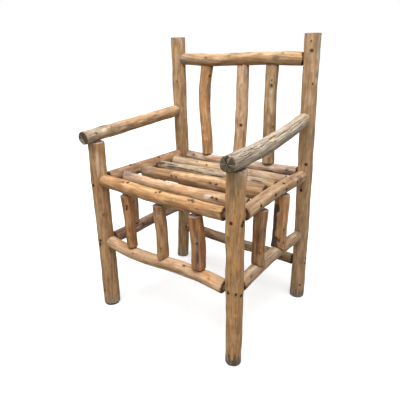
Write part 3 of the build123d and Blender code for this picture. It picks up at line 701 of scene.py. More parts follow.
    def heading(self, start, sign):
        """Which way the middle line runs towards one end."""
        side, up = self.centre(start)
        further_side, further_up = self.centre(start + sign * self.HEADING_STEP)
        heading = (sign * self.along + (further_side - side) / self.HEADING_STEP * self.side
                   + (further_up - up) / self.HEADING_STEP * self.up)
        return heading / np.linalg.norm(heading)

    def measure_end(self, sign):
        """The end face on one side of the branch, and the tenon that stands on it."""
        low, high = self.reach()
        tip, edge = (high, self.last) if sign > 0 else (low, self.first)
        shares = self.CORE_SHARES + self.SHOULDER_SHARES
        tenon = None
        if abs(tip - edge) > self.TENON_STEP:
            centre, radius = self.section(tip - sign * self.TENON_INSET)
            tenon = {"tip": tip, "centre": centre, "radius": radius}
            shares = self.SHOULDER_SHARES
        start = edge - sign * self.FACE_RUN
        heading = Vector(self.heading(start, sign))
        terms, heights = [], []
        for share in shares:
            for angle in np.linspace(0, TURN, self.FACE_TURNS, endpoint=False):
                origin = Vector(self.point(start, share * self.radius(start), angle))
                found = self.tree.ray_cast(origin, heading, self.FACE_REACH)[0]
                if found is None:
                    continue
                found = np.array(found)
                height = found @ self.along
                side, up = self.centre(height)
                side, up = found @ self.side - side, found @ self.up - up
                reached = math.hypot(side, up) / self.radius(height)
                terms.append(self.sheet_terms(reached, math.atan2(up, side)))
                heights.append(height)
        terms, heights = np.array(terms), np.array(heights)
        kept = np.abs(heights - np.median(heights)) < self.FACE_DEPTH
        for _ in range(4):
            face = np.linalg.lstsq(terms[kept], heights[kept], rcond=1e-6)[0]
            missed = np.abs(terms @ face - heights)
            kept = missed < max(self.FACE_LIMIT, self.OUTLIER * np.median(missed[kept]))
        return {"face": face, "tenon": tenon, "sign": sign}

    def face(self, end, share, angle):
        """Where an end face lies along the branch, at this share of the radius and this angle."""
        return self.sheet_terms(share, angle) @ self.ends[end]["face"]

    def place_of(self, coordinate):
        """The place along the branch where its middle line has this x, y or z."""
        low, high = self.first - self.OVERRUN, self.last + self.OVERRUN
        places = np.linspace(low, high, self.LOOKUPS)
        return np.interp(coordinate, self.point(places, 0.0, 0.0)[:, self.axis], places)


# ---------------------------------------------------------------- dressing a branch

class Skin:
    """Everything that lies on one branch's surface: bumps, knots, cracks, bark and colours."""

    HEAD_REACH = 0.0055        # a nail's head nearer to the surface than this is in this branch
    STAIN_CORE = 1.2           # how dark the middle of a nail's stain is
    SMALL_LUMPS = 0.4          # how high the small lumps are against the slow ones
    BARK_THICKNESS = 0.0004
    RAGGED = 0.3               # how ragged the outline of a mark is
    JOINT_SHADE_EDGE = 0.0012        # and of the painted shade against a shoulder
    JOINT_SHADE = np.array([0.42, 0.34, 0.28])     # what that painted shade multiplies the wood by

    # Each random field: its waves' lengths across and along the branch, and its turn in the draws.
    FIELDS = {
        "lumps": (0.045, 0.11, 0), "small_lumps": (0.016, 0.05, 1), "ridges": (0.0055, 0.06, 2),
        "bark": (0.012, 0.035, 3), "weather": (0.02, 0.05, 4), "tone": (0.014, 0.09, 5),
        "patches": (0.009, 0.04, 6),
    }
    RIM_DRAW, CLEFT_DRAW = 7, 8
    FIRST_DRAW, DRAWS = 100, 20              # where the draws start, and room for each branch's

    # How steeply each kind of mark grows inwards from its outline.
    STEEPNESS = {"bark": 2.2, "weather": 1.8, "patches": 1.7, "swells": 1.6}

    # A knot is a mound with a dimple, a little longer along the branch than around it.
    KNOT_STRETCH = 1.35
    KNOT_SLANT, KNOT_WIDENING = 0.35, 0.25   # how far its outline leans and widens, by its place
    FULL_KNOT = 5              # radius in millimetres at which a knot has its full height
    TALLEST_KNOT = 1.2         # and how much more than that a large one has
    MOUND_SPREAD, DIMPLE_SPREAD, DIMPLE_DEPTH = 3.2, 0.3, 0.8
    KNOT_REACH = 2.5           # how far its colour spreads, in its own radii
    KNOT_SHADE = 0.15          # what is added to its darkness

    CRACK_DARKNESS, DARKEST_CRACK = 0.42, 0.85   # for each millimetre of depth, and the most
    CRACK_TAPER = 1.15         # how fully a crack keeps its depth towards its ends
    CRACK_WANDERS = ((0.0012, 90, 1), (0.0007, 310, 2))   # how far it wanders, waves, shift

    TONE_CONTRAST = 0.6        # how clearly the wood's two colours part

    def __init__(self, node, branch, sizes):
        self.branch = branch
        self.sizes = sizes
        self.look = {**PLAIN, **LOOKS[node]}
        self.seed = self.FIRST_DRAW + self.DRAWS * BRANCHES.index(node)
        self.stains = self.nail_stains()

    def nail_stains(self):
        """Place and angle of each nail that is driven into this branch."""
        branch = self.branch
        stains = []
        for head in NAIL_HEADS:
            place = float(head @ branch.along)
            side, up = branch.centre(place)
            side, up = head @ branch.side - side, head @ branch.up - up
            gap = abs(math.hypot(side, up) - branch.radius(place))
            if branch.first < place < branch.last and gap < self.HEAD_REACH:
                stains.append((place, math.atan2(up, side)))
        return stains

    def unrolled(self, place, angle):
        """Points on the plain round branch, for the random fields."""
        radius = self.branch.radius(place)
        return np.stack([radius * np.cos(angle), radius * np.sin(angle), place + 0 * angle],
                        axis=-1)

    def field(self, name, points):
        """One of the branch's random fields, about -1 to 1."""
        across, along, turn = self.FIELDS[name]
        return ripple(points, across, along, self.seed + turn)

    def nearness(self, place, angle, mark, ragged):
        """1 at a mark's middle and 0 at its edge, with a ragged outline."""
        at, turn, half_length, half_width = mark
        along = (place - self.branch.place_of(at * MM)) / (half_length * MM)
        around = angle_gap(angle, math.radians(turn)) / math.radians(half_width)
        return 1 - np.hypot(along, around) + self.RAGGED * ragged

    def marks(self, kind, place, angle, ragged=0.0):
        """How fully each mark of a kind covers the surface, with what its row says after that."""
        for row in self.look[kind]:
            near = self.nearness(place, angle, row[:4], ragged)
            yield smooth(self.STEEPNESS[kind] * near), row[4:]

    def cover(self, kind, place, angle):
        """Where the surface has bark or has gone grey, 0 to 1."""
        covered = np.zeros(np.broadcast(place, angle).shape)
        ragged = self.field(kind, self.unrolled(place, angle))
        for share, (amount,) in self.marks(kind, place, angle, ragged):
            covered = np.maximum(covered, amount * share)
        return covered

    def knot_distance(self, place, angle, knot):
        """How far points are from a knot's middle, in knot radii."""
        at, turn, radius, _ = knot
        along = (place - self.branch.place_of(at * MM)) / self.KNOT_STRETCH
        around = angle_gap(angle, math.radians(turn)) * self.branch.radius(place)
        bent = along + self.KNOT_SLANT * around * math.sin(at)
        widened = around * (1 + self.KNOT_WIDENING * math.cos(at))
        return np.hypot(bent, widened) / (radius * MM)

    def crack_nearness(self, place, angle, crack):
        """1 in the middle of a drying crack, 0 away from it."""
        at, turn, half_length, width, _ = crack
        along = (place - self.branch.place_of(at * MM)) / (half_length * MM)
        wander = sum(far * np.sin(place * waves + shift * turn)
                     for far, waves, shift in self.CRACK_WANDERS)
        around = angle_gap(angle, math.radians(turn)) * self.branch.radius(place) + wander
        return np.exp(-(around / (width * MM)) ** 2) * smooth(self.CRACK_TAPER * (1 - along ** 2))

    def relief(self, place, angle):
        """How far the surface stands out from the plain round branch."""
        points = self.unrolled(place, angle)
        height = self.sizes.lump_height * self.field("lumps", points)
        height += self.SMALL_LUMPS * self.sizes.lump_height * self.field("small_lumps", points)
        height += self.sizes.ridge_height * self.field("ridges", points)
        for knot in self.look["knots"]:
            spread = -self.knot_distance(place, angle, knot) ** 2
            size = self.sizes.knot_height * min(knot[2] / self.FULL_KNOT, self.TALLEST_KNOT)
            height += (size * np.exp(spread / self.MOUND_SPREAD)
                       - self.DIMPLE_DEPTH * size * np.exp(spread / self.DIMPLE_SPREAD))
        for crack in self.look["cracks"]:
            height -= crack[4] * MM * self.crack_nearness(place, angle, crack)
        for share, (swell,) in self.marks("swells", place, angle):
            height += swell * MM * share
        return height + self.BARK_THICKNESS * self.cover("bark", place, angle)

    def knots(self, place, angle):
        """How near points are to dark knots, cracks and nails, and to pale knots, 0 to 1."""
        dark = np.zeros(np.broadcast(place, angle).shape)
        pale = dark.copy()
        for knot in self.look["knots"]:
            darkness = knot[3]
            near = np.clip(1 - self.knot_distance(place, angle, knot) / self.KNOT_REACH, 0, 1)
            near = near * min(abs(darkness) + self.KNOT_SHADE, 1)
            if darkness > 0:
                dark = np.maximum(dark, near)
            else:
                pale = np.maximum(pale, near)
        for crack in self.look["cracks"]:
            darkness = min(self.CRACK_DARKNESS * crack[4], self.DARKEST_CRACK)
            dark = np.maximum(dark, darkness * self.crack_nearness(place, angle, crack))
        for at, turn in self.stains:
            gap = np.hypot(place - at, angle_gap(angle, turn) * self.branch.radius(place))
            stain = np.clip(self.STAIN_CORE - gap / self.sizes.stain_radius, 0, 1)
            dark = np.maximum(dark, stain)
        return dark, pale

    def tone(self, place, angle):
        """The wood's colour over the surface: its own colour, with shade painted on against the
        tenons' shoulders.
        """
        points = self.unrolled(place, angle)
        share = smooth(0.5 + self.TONE_CONTRAST * self.field("tone", points))[..., None]
        colour = linear(self.look["tone"]) * (1 - share) + linear(self.look["second"]) * share
        ragged = self.field("patches", points)
        for share, (hue, amount) in self.marks("patches", place, angle, ragged):
            cover = amount * share[..., None]
            colour = colour * (1 - cover) + linear(hue) * cover
        # Painted shade: the wood is darkened on and towards each tenon's shoulder, where the branch
        # meets the next part.
        for end in (0, 1):
            if self.branch.ends[end]["tenon"]:
                inside = self.branch.ends[end]["sign"] * (self.branch.face(end, 1.0, angle) - place)
                reach = (inside + self.JOINT_SHADE_EDGE * ragged) / self.sizes.joint_shade_length
                # dirt here is the share of that painted shade at each point.
                dirt = smooth(1 - reach)[..., None] * self.look["joint_shade"][end]
                colour = colour * (1 - dirt * (1 - self.JOINT_SHADE))
        return colour


# The rows of points over an end, as shares of the radius from its middle outwards.
SHOULDER_ROWS = (0.04, 0.35, 0.7, 1.0)
SAWN_ROWS = (0.14, 0.3, 0.46, 0.62, 0.76, 0.88, 0.96, 1.0)
RIM_ROWS = 5
CHAMFER = 0.8 * MM         # on a tenon's tip
TENON_GAP = 2 * MM         # how far from the shoulder a tenon's last row is
TENON_CUT = 0.9            # how much of a tenon is clean wood
TENON_FACE = 0.55          # the first row on its tip, as a share of its radius
LOPSIDED = 0.28            # how unevenly an end is rounded over
RIM_WEAR = 0.35            # how much less clean the cut is at the outer edge of its rim
SAW_DEPTH, SAW_PITCH, SAW_ANGLE = 0.12 * MM, 0.0021, 0.7

# Drying cracks in a sawn end, where none are given: how many, how far out they run as a share of
# the radius, how deep they are in millimetres, and how much they bend.
CLEFTS, CLEFT_REACHES, CLEFT_DEPTHS, CLEFT_BEND = 7, (0.4, 1.0), (0.4, 1.5), 0.15
CLEFT_WAVES = 6            # how often a bend swings to and fro, over about one radius
CLEFT_RADIUS = 0.022       # the radius that their widths are reckoned at
CLEFT_WIDTH, CLEFT_WIDENING = 0.5, 0.3   # in millimetres, and more for each one of depth
CLEFT_TAPER, CLEFT_TIP = 1.6, 0.4        # how they run out
DEEP_CLEFT = 1.6 * MM      # one this deep is quite dark


def end_rows(branch, skin, end, angles):
    """Rows of points over one end of a branch, from its middle out to its side.

    Each row is place, distance, middle line (or None), how much of it is fresh cut and how dark
    its cracks are.
    """
    sign = branch.ends[end]["sign"]
    tenon = branch.ends[end]["tenon"]
    circle = np.stack([np.cos(angles), np.sin(angles), 0 * angles + end], axis=-1)
    uneven = 1 + LOPSIDED * ripple(circle, 1.3, 1.0, skin.seed + skin.RIM_DRAW)
    inwards, along = (size * MM * uneven for size in skin.look["rims"][end])
    edge = branch.face(end, 1.0, angles)
    full = branch.radius(edge) + skin.relief(edge, angles)
    fresh = fresh_share(branch, skin, end)
    rows = []
    if tenon:
        thick = tenon["radius"]
        rows = tenon_rows(branch, end, np.mean(full), angles)
        shares = thick / full + ((1 - thick / full - inwards / full)
                                 * np.array(SHOULDER_ROWS)[:, None])
    else:
        shares = (1 - inwards / full) * np.array(SAWN_ROWS)[:, None]
    for share in shares:
        across = share * np.cos(angles - SAW_ANGLE) * full
        sawn = SAW_DEPTH * np.sin(across * TURN / SAW_PITCH)
        split = end_cracks(skin, end, share, angles)
        place = branch.face(end, share, angles) - sign * (split + sawn)
        rows.append((place, share * full, None, fresh, np.minimum(split / DEEP_CLEFT, 1)))
    rim = branch.face(end, 1 - inwards / full, angles)
    for turn in np.linspace(0, math.pi / 2, RIM_ROWS + 1)[1:]:
        over = 1 - math.cos(turn)
        place = rim * math.cos(turn) + edge * over - sign * along * over
        worn = fresh * (1.0 - RIM_WEAR * turn / (math.pi / 2))
        rows.append((place, full - inwards * (1 - math.sin(turn)), None, worn, 0.0))
    return rows


def tenon_rows(branch, end, full, angles):
    """The rows of points over a tenon, from its tip down to near its shoulder."""
    sign = branch.ends[end]["sign"]
    tip, centre, thick = (branch.ends[end]["tenon"][key] for key in ("tip", "centre", "radius"))
    root = float(np.mean(branch.face(end, thick / full, angles)))
    root_centre = np.array(branch.centre(root))
    rows = []
    for place, distance in ((tip, TENON_FACE * thick), (tip, thick - CHAMFER),
                            (tip - sign * CHAMFER, thick), ((tip + root) / 2, thick),
                            (root - sign * TENON_GAP, thick)):
        share = (place - root) / (tip - root)
        middle = root_centre * (1 - share) + centre * share
        rows.append((np.full_like(angles, place), np.full_like(angles, distance), middle,
                     TENON_CUT, 0.0))
    return rows


def fresh_share(branch, skin, end):
    """How much of an end is clean sawn wood."""
    return skin.look["fresh"][end] if branch.ends[end]["tenon"] else 1.0


def end_cracks(skin, end, share, angles):
    """How deep the drying cracks are that run out from the middle of a sawn end."""
    if skin.branch.ends[end]["tenon"]:
        return np.zeros_like(angles)
    clefts = skin.look["clefts"]
    if not clefts:
        draw = np.random.default_rng(skin.seed + skin.CLEFT_DRAW + end)
        clefts = [(draw.uniform(0, 360), draw.uniform(*CLEFT_REACHES),
                   draw.uniform(*CLEFT_DEPTHS), CLEFT_BEND) for _ in range(CLEFTS)]
    depth = np.zeros_like(angles)
    for turn, reach, deep, bend in clefts:
        middle = math.radians(turn) + bend * np.sin(CLEFT_WAVES * share)
        gap = angle_gap(angles, middle) * share * CLEFT_RADIUS
        width = (CLEFT_WIDTH + CLEFT_WIDENING * deep) * MM
        run = smooth(CLEFT_TAPER * (reach - share) + CLEFT_TIP)
        depth = np.maximum(depth, deep * MM * np.exp(-(gap / width) ** 2) * run)
    return depth


# How much of a fresh cut's colour runs from a branch's end up its side, and from what share on a
# point is on the end and no longer on the side.
CUT_ON_SIDE = 0.65
ON_END, END_STEEPNESS = 0.66, 8

# How dark a drying crack in a sawn end is.
CLEFT_DARKNESS = 0.8

# How far one branch's grain is from the next one's, so that no two are alike.
GRAIN_SHIFT = 0.731


def side_rows(branch, skin, start, stop, angles, spacing):
    """The rows of points along a branch's side, between those over its ends."""
    count = int(np.mean(stop - start) / spacing)
    bare_low, bare_high = (size * MM for size in skin.look["bare"])
    fresh_low, fresh_high = (fresh_share(branch, skin, end) for end in (0, 1))
    rows = []
    for step in range(1, count):
        place = start + (stop - start) * step / count
        cut = CUT_ON_SIDE * np.maximum(fresh_low * smooth(1 - (place - start) / bare_low),
                                       fresh_high * smooth(1 - (stop - place) / bare_high))
        rows.append((place, branch.radius(place) + skin.relief(place, angles), None, cut, 0.0))
    return rows


def end_middle(branch, end):
    """The point in the middle of a branch's end, or of the tenon on it."""
    tenon = branch.ends[end]["tenon"]
    if tenon:
        return branch.point(tenon["tip"], 0.0, 0.0, tenon["centre"])
    return branch.point(branch.face(end, 0.0, 0.0), 0.0, 0.0)


def build_branch(node, props):
    """Makes one branch's finished mesh and puts it in the place of its solid."""
    branch = Branch(node)
    sizes = props.branches
    skin = Skin(node, branch, sizes)
    segments, spacing = sizes.segments, sizes.ring_spacing
    if node in ARMS:
        segments, spacing = sizes.arm_segments, sizes.arm_ring_spacing
    angles = np.linspace(0, TURN, segments, endpoint=False)
    low_rows = end_rows(branch, skin, 0, angles)
    high_rows = end_rows(branch, skin, 1, angles)[::-1]
    start, stop = low_rows[-1][0], high_rows[0][0]
    rows = low_rows + side_rows(branch, skin, start, stop, angles, spacing) + high_rows
    points = np.array([branch.point(row[0], row[1], angles, row[2]) for row in rows])
    poles = np.array([end_middle(branch, end) for end in (0, 1)])
    vertices = np.concatenate([points.reshape(-1, 3), poles])
    vertices = np.clip(vertices, CHAIR_LOW, CHAIR_HIGH)
    outwards = np.dot(np.cross(branch.side, branch.up), branch.along) > 0
    mesh = tube_mesh(node + "_wood", vertices, len(rows), segments, outwards)
    paint_layers(mesh, skin, rows, angles, GRAIN_SHIFT * BRANCHES.index(node))
    mesh.materials.append(wood_material(SLOTS[node], props.colours))
    settle(mesh, node)


def paint_layers(mesh, skin, rows, angles, shift):
    """Stores on a branch's mesh what its material reads: grain, marks, pale knots and tone."""
    places = np.array([row[0] for row in rows])
    distances = np.array([row[1] for row in rows])
    cuts, clefts = (np.array([np.broadcast_to(row[k], angles.shape) for row in rows])
                    for k in (3, 4))
    turns = angles[None, :]
    dark, pale = skin.knots(places, turns)
    on_side = 1 - smooth((cuts - ON_END) * END_STEEPNESS)
    dark = np.maximum(dark * on_side, CLEFT_DARKNESS * clefts)
    marks = np.stack([dark, skin.cover("weather", places, turns),
                      skin.cover("bark", places, turns) * on_side, cuts], axis=-1).reshape(-1, 4)
    pale = (pale * on_side).reshape(-1)
    tone = skin.tone(places, turns).reshape(-1, 3)
    grain = np.stack([distances * np.cos(angles), distances * np.sin(angles), places + shift],
                     axis=-1).reshape(-1, 3)
    pole_grain = np.array([[0, 0, row[0][0] + shift] for row in (rows[0], rows[-1])])
    tone = np.concatenate([tone, tone[[0, -1]]])
    tone = np.concatenate([tone, np.ones((len(tone), 1))], axis=1)
    add_layer(mesh, "grain", "FLOAT_VECTOR", np.concatenate([grain, pole_grain]))
    add_layer(mesh, "marks", "FLOAT_COLOR", np.concatenate([marks, marks[[0, -1]]]))
    add_layer(mesh, "pale_knots", "FLOAT", np.concatenate([pale, [0, 0]]))
    add_layer(mesh, "tone", "FLOAT_COLOR", tone)


def tube_mesh(name, vertices, rows, segments, outwards):
    """A closed mesh from rows of points around a branch, its poles being the last two vertices."""
    here = np.arange(segments)
    following = (here + 1) % segments
    row = np.arange(rows - 1)[:, None] * segments
    quads = np.stack([row + here, row + following, row + segments + following,
                      row + segments + here], axis=-1).reshape(-1, 4)
    low_pole, high_pole = rows * segments, rows * segments + 1
    top = (rows - 1) * segments
    low = np.stack([np.full(segments, low_pole), following, here], axis=-1)
    high = np.stack([np.full(segments, high_pole), top + here, top + following], axis=-1)
    triangles = np.concatenate([low, high])
    if not outwards:
        quads, triangles = quads[:, ::-1], triangles[:, ::-1]
    mesh = bpy.data.meshes.new(name)
    mesh.vertices.add(len(vertices))
    mesh.vertices.foreach_set("co", vertices.astype(np.float32).ravel())
    corners = np.concatenate([quads.ravel(), triangles.ravel()]).astype(np.int32)
    mesh.loops.add(len(corners))
    mesh.loops.foreach_set("vertex_index", corners)
    sizes = np.concatenate([np.full(len(quads), 4), np.full(len(triangles), 3)])
    starts = np.concatenate([[0], np.cumsum(sizes)[:-1]]).astype(np.int32)
    mesh.polygons.add(len(sizes))
    mesh.polygons.foreach_set("loop_start", starts)
    mesh.polygons.foreach_set("use_smooth", np.ones(len(sizes), dtype=bool))
    mesh.update(calc_edges=True)
    if mesh.validate(verbose=False):
        raise RuntimeError(name + " has faces that Blender had to mend")
    return mesh


def add_layer(mesh, name, kind, values):
    """Stores one value for each of the mesh's vertices."""
    layer = mesh.attributes.new(name, kind, "POINT")
    field = {"FLOAT_VECTOR": "vector", "FLOAT_COLOR": "color", "FLOAT": "value"}[kind]
    layer.data.foreach_set(field, np.ascontiguousarray(values, dtype=np.float32).ravel())


def settle(mesh, node):
    """Links the finished piece, which then stands for its node on the chair's one body."""
    piece = bpy.data.objects.new(mesh.name, mesh)
    bpy.context.scene.collection.objects.link(piece)
    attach(piece, "root")
    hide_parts(node)


# ---------------------------------------------------------------- materials

class Bench:
    """Puts the nodes of one tree together."""

    def __init__(self, tree):
        self.nodes = tree.nodes
        self.links = tree.links

    def feed(self, socket, value):
        """Sets an input to a number or colour, or links it to another node's output."""
        if isinstance(value, bpy.types.NodeSocket):
            self.links.new(value, socket)
        elif value is not None:
            socket.default_value = value

    def make(self, kind, **values):
        """A node with its inputs set or linked by name."""
        node = self.nodes.new(kind)
        for name, value in values.items():
            self.feed(node.inputs[name.replace("_", " ")], value)
        return node

    def arithmetic(self, operation, one, two=None, three=None):
        """One arithmetic step."""
        node = self.nodes.new("ShaderNodeMath")
        node.operation = operation
        for socket, value in zip(node.inputs, (one, two, three)):
            self.feed(socket, value)
        return node.outputs[0]


class Weave(Bench):
    """Puts a material's nodes together."""

    def __init__(self, name):
        self.material = bpy.data.materials.new(name)
        self.material.use_nodes = True
        super().__init__(self.material.node_tree)
        self.shader = self.nodes["Principled BSDF"]

    def layer(self, name, output):
        """One of the mesh's own layers."""
        node = self.nodes.new("ShaderNodeAttribute")
        node.attribute_name = name
        return node.outputs[output]

    def place(self):
        """The object's own coordinates."""
        return self.nodes.new("ShaderNodeTexCoord").outputs["Object"]

    def vector_step(self, operation, one, two=None):
        """One step of vector arithmetic."""
        node = self.nodes.new("ShaderNodeVectorMath")
        node.operation = operation
        for socket, value in zip(node.inputs, (one, two)):
            self.feed(socket, value)
        return node

    def stretch(self, vector, across, along):
        """The grain's coordinates, scaled across and along the branch."""
        return self.vector_step("MULTIPLY", vector, (across, across, along)).outputs["Vector"]

    def length(self, vector):
        """The length of a vector."""
        return self.vector_step("LENGTH", vector).outputs["Value"]

    def unit(self, vector):
        """A vector at length 1."""
        return self.vector_step("NORMALIZE", vector).outputs["Vector"]

    def noise(self, vector, detail=2.0, roughness=0.5, distortion=0.0):
        """A noise, 0 to 1."""
        return self.make("ShaderNodeTexNoise", Vector=vector, Scale=1.0, Detail=detail,
                         Roughness=roughness, Distortion=distortion).outputs["Fac"]

    def window(self, value, low, high, to_low=0.0, to_high=1.0):
        """Maps a range to another one with soft ends."""
        node = self.nodes.new("ShaderNodeMapRange")
        node.interpolation_type = "SMOOTHSTEP"
        for socket, setting in zip(node.inputs, (value, low, high, to_low, to_high)):
            self.feed(socket, setting)
        return node.outputs[0]

    def blend(self, share, one, two, kind="MIX"):
        """Mixes two colours."""
        node = self.nodes.new("ShaderNodeMix")
        node.data_type = "RGBA"
        node.blend_type = kind
        for place, value in ((0, share), (6, one), (7, two)):
            self.feed(node.inputs[place], value)
        return node.outputs[2]

    def tint(self, colour, other, field, span, amounts=(0, 1), kind="MIX"):
        """Lays a colour over another one, as strongly as a field goes along a span."""
        if not isinstance(other, bpy.types.NodeSocket):
            other = rgba(other)
        return self.blend(self.window(field, *span, *amounts), colour, other, kind)

    def roughened(self, value, noise, amount):
        """A value with a noise added to it, so that what follows its edge is ragged."""
        return self.arithmetic("ADD", value, self.arithmetic("MULTIPLY_ADD", noise, amount,
                                                             -amount / 2))

    def parts(self, colour):
        """The red, green and blue of a colour."""
        node = self.nodes.new("ShaderNodeSeparateColor")
        self.feed(node.inputs[0], colour)
        return node.outputs[:3]

    def finish(self, colour, roughness, height, strength, distance):
        """Gives the shader its colour and roughness, and its bump from a height."""
        self.feed(self.shader.inputs["Base Color"], colour)
        self.feed(self.shader.inputs["Roughness"], roughness)
        bump = self.make("ShaderNodeBump", Strength=strength, Distance=distance, Height=height)
        self.feed(self.shader.inputs["Normal"], bump.outputs[0])


def rgba(colour):
    """A colour property as a shader input."""
    return (*colour, 1.0)


class Wood(Weave):
    """The wood of one material slot, from the layers that every branch's mesh has."""

    RING_SCALE = 3400.0        # year rings, in radians to a metre
    RING_WOBBLE = 7.0
    BARK_SPAN = (0.36, 0.52)   # where the edge of the bark lies in its field
    BARK_RAGGED, BARK_STREAKED = 0.7, 0.5
    KNOT_RAGGED = 0.22
    CUT_RAGGED = 0.4
    WEATHER_RAGGED = 0.5
    WEATHER_COVER = 0.85       # how fully grey covers the wood
    SEEN_IN_GREY = 0.38        # how much of the wood's own colour is in the grey
    SEEN_IN_CUT = 0.25         # and in a sawn end

    def __init__(self, slot, colours):
        super().__init__(FINISHES[slot])
        self.colours = colours
        self.rough, self.streak_depth = WOODS[slot]
        self.grain = self.layer("grain", "Vector")
        self.knot, self.weather, self.bark = self.parts(self.layer("marks", "Color"))
        self.cut = self.layer("marks", "Alpha")
        self.pale_knot = self.layer("pale_knots", "Fac")
        self.tone = self.layer("tone", "Color")
        self.streak = self.along(230, 17, detail=4, roughness=0.6, distortion=0.4)
        self.fibre = self.along(1250, 60, detail=3, roughness=0.65)
        self.blotch = self.along(70, 34, detail=3, roughness=0.55, distortion=0.6)
        self.fleck = self.along(520, 150, detail=2, roughness=0.5)
        self.mottle = self.along(330, 240, detail=4, roughness=0.7)
        ragged = self.roughened(self.bark, self.mottle, self.BARK_RAGGED)
        self.bark_edge = self.roughened(ragged, self.streak, self.BARK_STREAKED)
        self.dark = self.roughened(self.knot, self.mottle, self.KNOT_RAGGED)

    def along(self, across, along, **settings):
        """A noise that follows the grain."""
        return self.noise(self.stretch(self.grain, across, along), **settings)

    def peeled(self):
        """Bare wood: the branch's tone with streaks, blotches, fibres and flecks."""
        paint = self.colours
        deep = (0, 0.62 * self.streak_depth)
        colour = self.tint(self.tone, paint.streak, self.streak, (0.56, 0.34), deep, "MULTIPLY")
        colour = self.tint(colour, paint.pale_streak, self.streak, (0.55, 0.75), (0, 0.45))
        colour = self.tint(colour, paint.blotch, self.blotch, (0.58, 0.3), (0, 0.55), "MULTIPLY")
        colour = self.tint(colour, paint.pale_streak, self.blotch, (0.58, 0.78), (0, 0.3))
        colour = self.tint(colour, paint.streak, self.fibre, (0.3, 0.7), (0.22, -0.1), "MULTIPLY")
        return self.tint(colour, paint.fleck, self.fleck, (0.69, 0.76), (0, 0.7))

    def weathered(self, colour):
        """Lays grey fibres with fine checks over the wood where it has weathered."""
        paint = self.colours
        grey = self.tint(rgba(paint.weathered_dark), paint.weathered, self.fibre, (0.35, 0.66))
        grey = self.blend(self.SEEN_IN_GREY, grey, colour)
        check = self.along(300, 13, detail=3, roughness=0.6, distortion=0.8)
        grey = self.tint(grey, paint.weathered_ridge, check, (0.52, 0.66), (0, 0.6))
        grey = self.tint(grey, paint.weathered_check, check, (0.42, 0.32), (0, 0.85))
        ragged = self.roughened(self.weather, self.blotch, self.WEATHER_RAGGED)
        share = self.arithmetic("MULTIPLY", self.window(ragged, 0.25, 0.75), self.WEATHER_COVER)
        return self.blend(share, colour, grey)

    def barked(self, colour):
        """Lays thin bark over the wood where it is left on."""
        skin = self.tint(rgba(self.colours.bark), self.colours.bark_worn, self.mottle, (0.36, 0.64))
        skin = self.tint(skin, self.tone, self.streak, (0.62, 0.72), (0, 0.6))
        return self.tint(colour, skin, self.bark_edge, self.BARK_SPAN)

    def knotted(self, colour):
        """Lays the dark knots, cracks and stains and the pale knots over the wood."""
        paint = self.colours
        pale = self.roughened(self.pale_knot, self.mottle, self.KNOT_RAGGED)
        colour = self.tint(colour, paint.knot_ring, self.dark, (0.3, 0.55), (0, 0.6), "MULTIPLY")
        colour = self.tint(colour, paint.knot, self.dark, (0.6, 0.74))
        colour = self.tint(colour, paint.pale_knot, pale, (0.34, 0.54), (0, 0.6))
        colour = self.tint(colour, paint.knot_ring, pale, (0.56, 0.66), (0, 0.7), "MULTIPLY")
        return self.tint(colour, paint.knot, pale, (0.74, 0.84), (0, 0.8))

    def sawn(self, colour):
        """Lays year rings, rays and dirt over the wood where it is cut across."""
        paint = self.colours
        flat = self.stretch(self.grain, 1.0, 0.0)
        rays = self.noise(self.stretch(self.unit(flat), 9, 9), detail=4, roughness=0.7)
        wobble = self.arithmetic("MULTIPLY", self.along(160, 160, detail=2), self.RING_WOBBLE)
        ring = self.arithmetic("MULTIPLY_ADD", self.length(flat), self.RING_SCALE, wobble)
        ring = self.arithmetic("SINE", ring)
        sawn = self.tint(rgba(paint.cut_ring), paint.cut, ring, (-0.8, 0.9))
        sawn = self.tint(sawn, paint.cut_ray, rays, (0.5, 0.66), (0, 0.75))
        sawn = self.tint(sawn, paint.cut_ray, self.mottle, (0.3, 0.7), (0.25, 0))
        sawn = self.blend(self.SEEN_IN_CUT, sawn, colour)
        sawn = self.blend(self.weather, sawn, rgba(paint.old_cut), "MULTIPLY")
        sawn = self.tint(sawn, paint.knot, self.dark, (0.35, 0.8))
        ragged = self.roughened(self.cut, self.mottle, self.CUT_RAGGED)
        return self.tint(colour, sawn, ragged, (0.3, 0.62))

    def surface(self):
        """The fine relief of streaks, fibres and the bark's edge."""
        fine = self.arithmetic("MULTIPLY", self.fibre, 0.3)
        height = self.arithmetic("MULTIPLY_ADD", self.streak, 0.55, fine)
        height = self.arithmetic("MULTIPLY_ADD", self.mottle, 0.3, height)
        bark = self.window(self.bark_edge, *self.BARK_SPAN)
        return self.arithmetic("MULTIPLY_ADD", bark, 0.5, height)


def wood_material(slot, colours):
    """A branch's wood: streaked grain, weathered places, left bark, knots and sawn ends."""
    name = FINISHES[slot]
    if name in bpy.data.materials:
        return bpy.data.materials[name]
    wood = Wood(slot, colours)
    colour = wood.sawn(wood.knotted(wood.barked(wood.weathered(wood.peeled()))))
    gloss = wood.window(wood.streak, 0.2, 0.8, wood.rough + 0.12, wood.rough - 0.08)
    wood.finish(colour, gloss, wood.surface(), strength=0.55, distance=0.0012)
    wood.shader.inputs["Specular IOR Level"].default_value = 0.35
    return wood.material


def iron_material(colours):
    """Dull dark iron with a little rust, for the nails."""
    name = FINISHES["nail_iron"]
    if name in bpy.data.materials:
        return bpy.data.materials[name]
    iron = Weave(name)
    place = iron.place()
    pits = iron.noise(iron.stretch(place, 900, 900), detail=4, roughness=0.65)
    rust = iron.noise(iron.stretch(place, 260, 260), detail=3, roughness=0.6)
    colour = iron.tint(rgba(colours.iron), colours.iron_worn, pits, (0.35, 0.7))
    colour = iron.tint(colour, colours.rust, rust, (0.52, 0.68), (0, 0.75))
    gloss = iron.window(pits, 0.3, 0.75, 0.45, 0.75)
    iron.finish(colour, gloss, pits, strength=0.6, distance=0.0004)
    iron.shader.inputs["Metallic"].default_value = 0.7
    return iron.material


# ---------------------------------------------------------------- nails

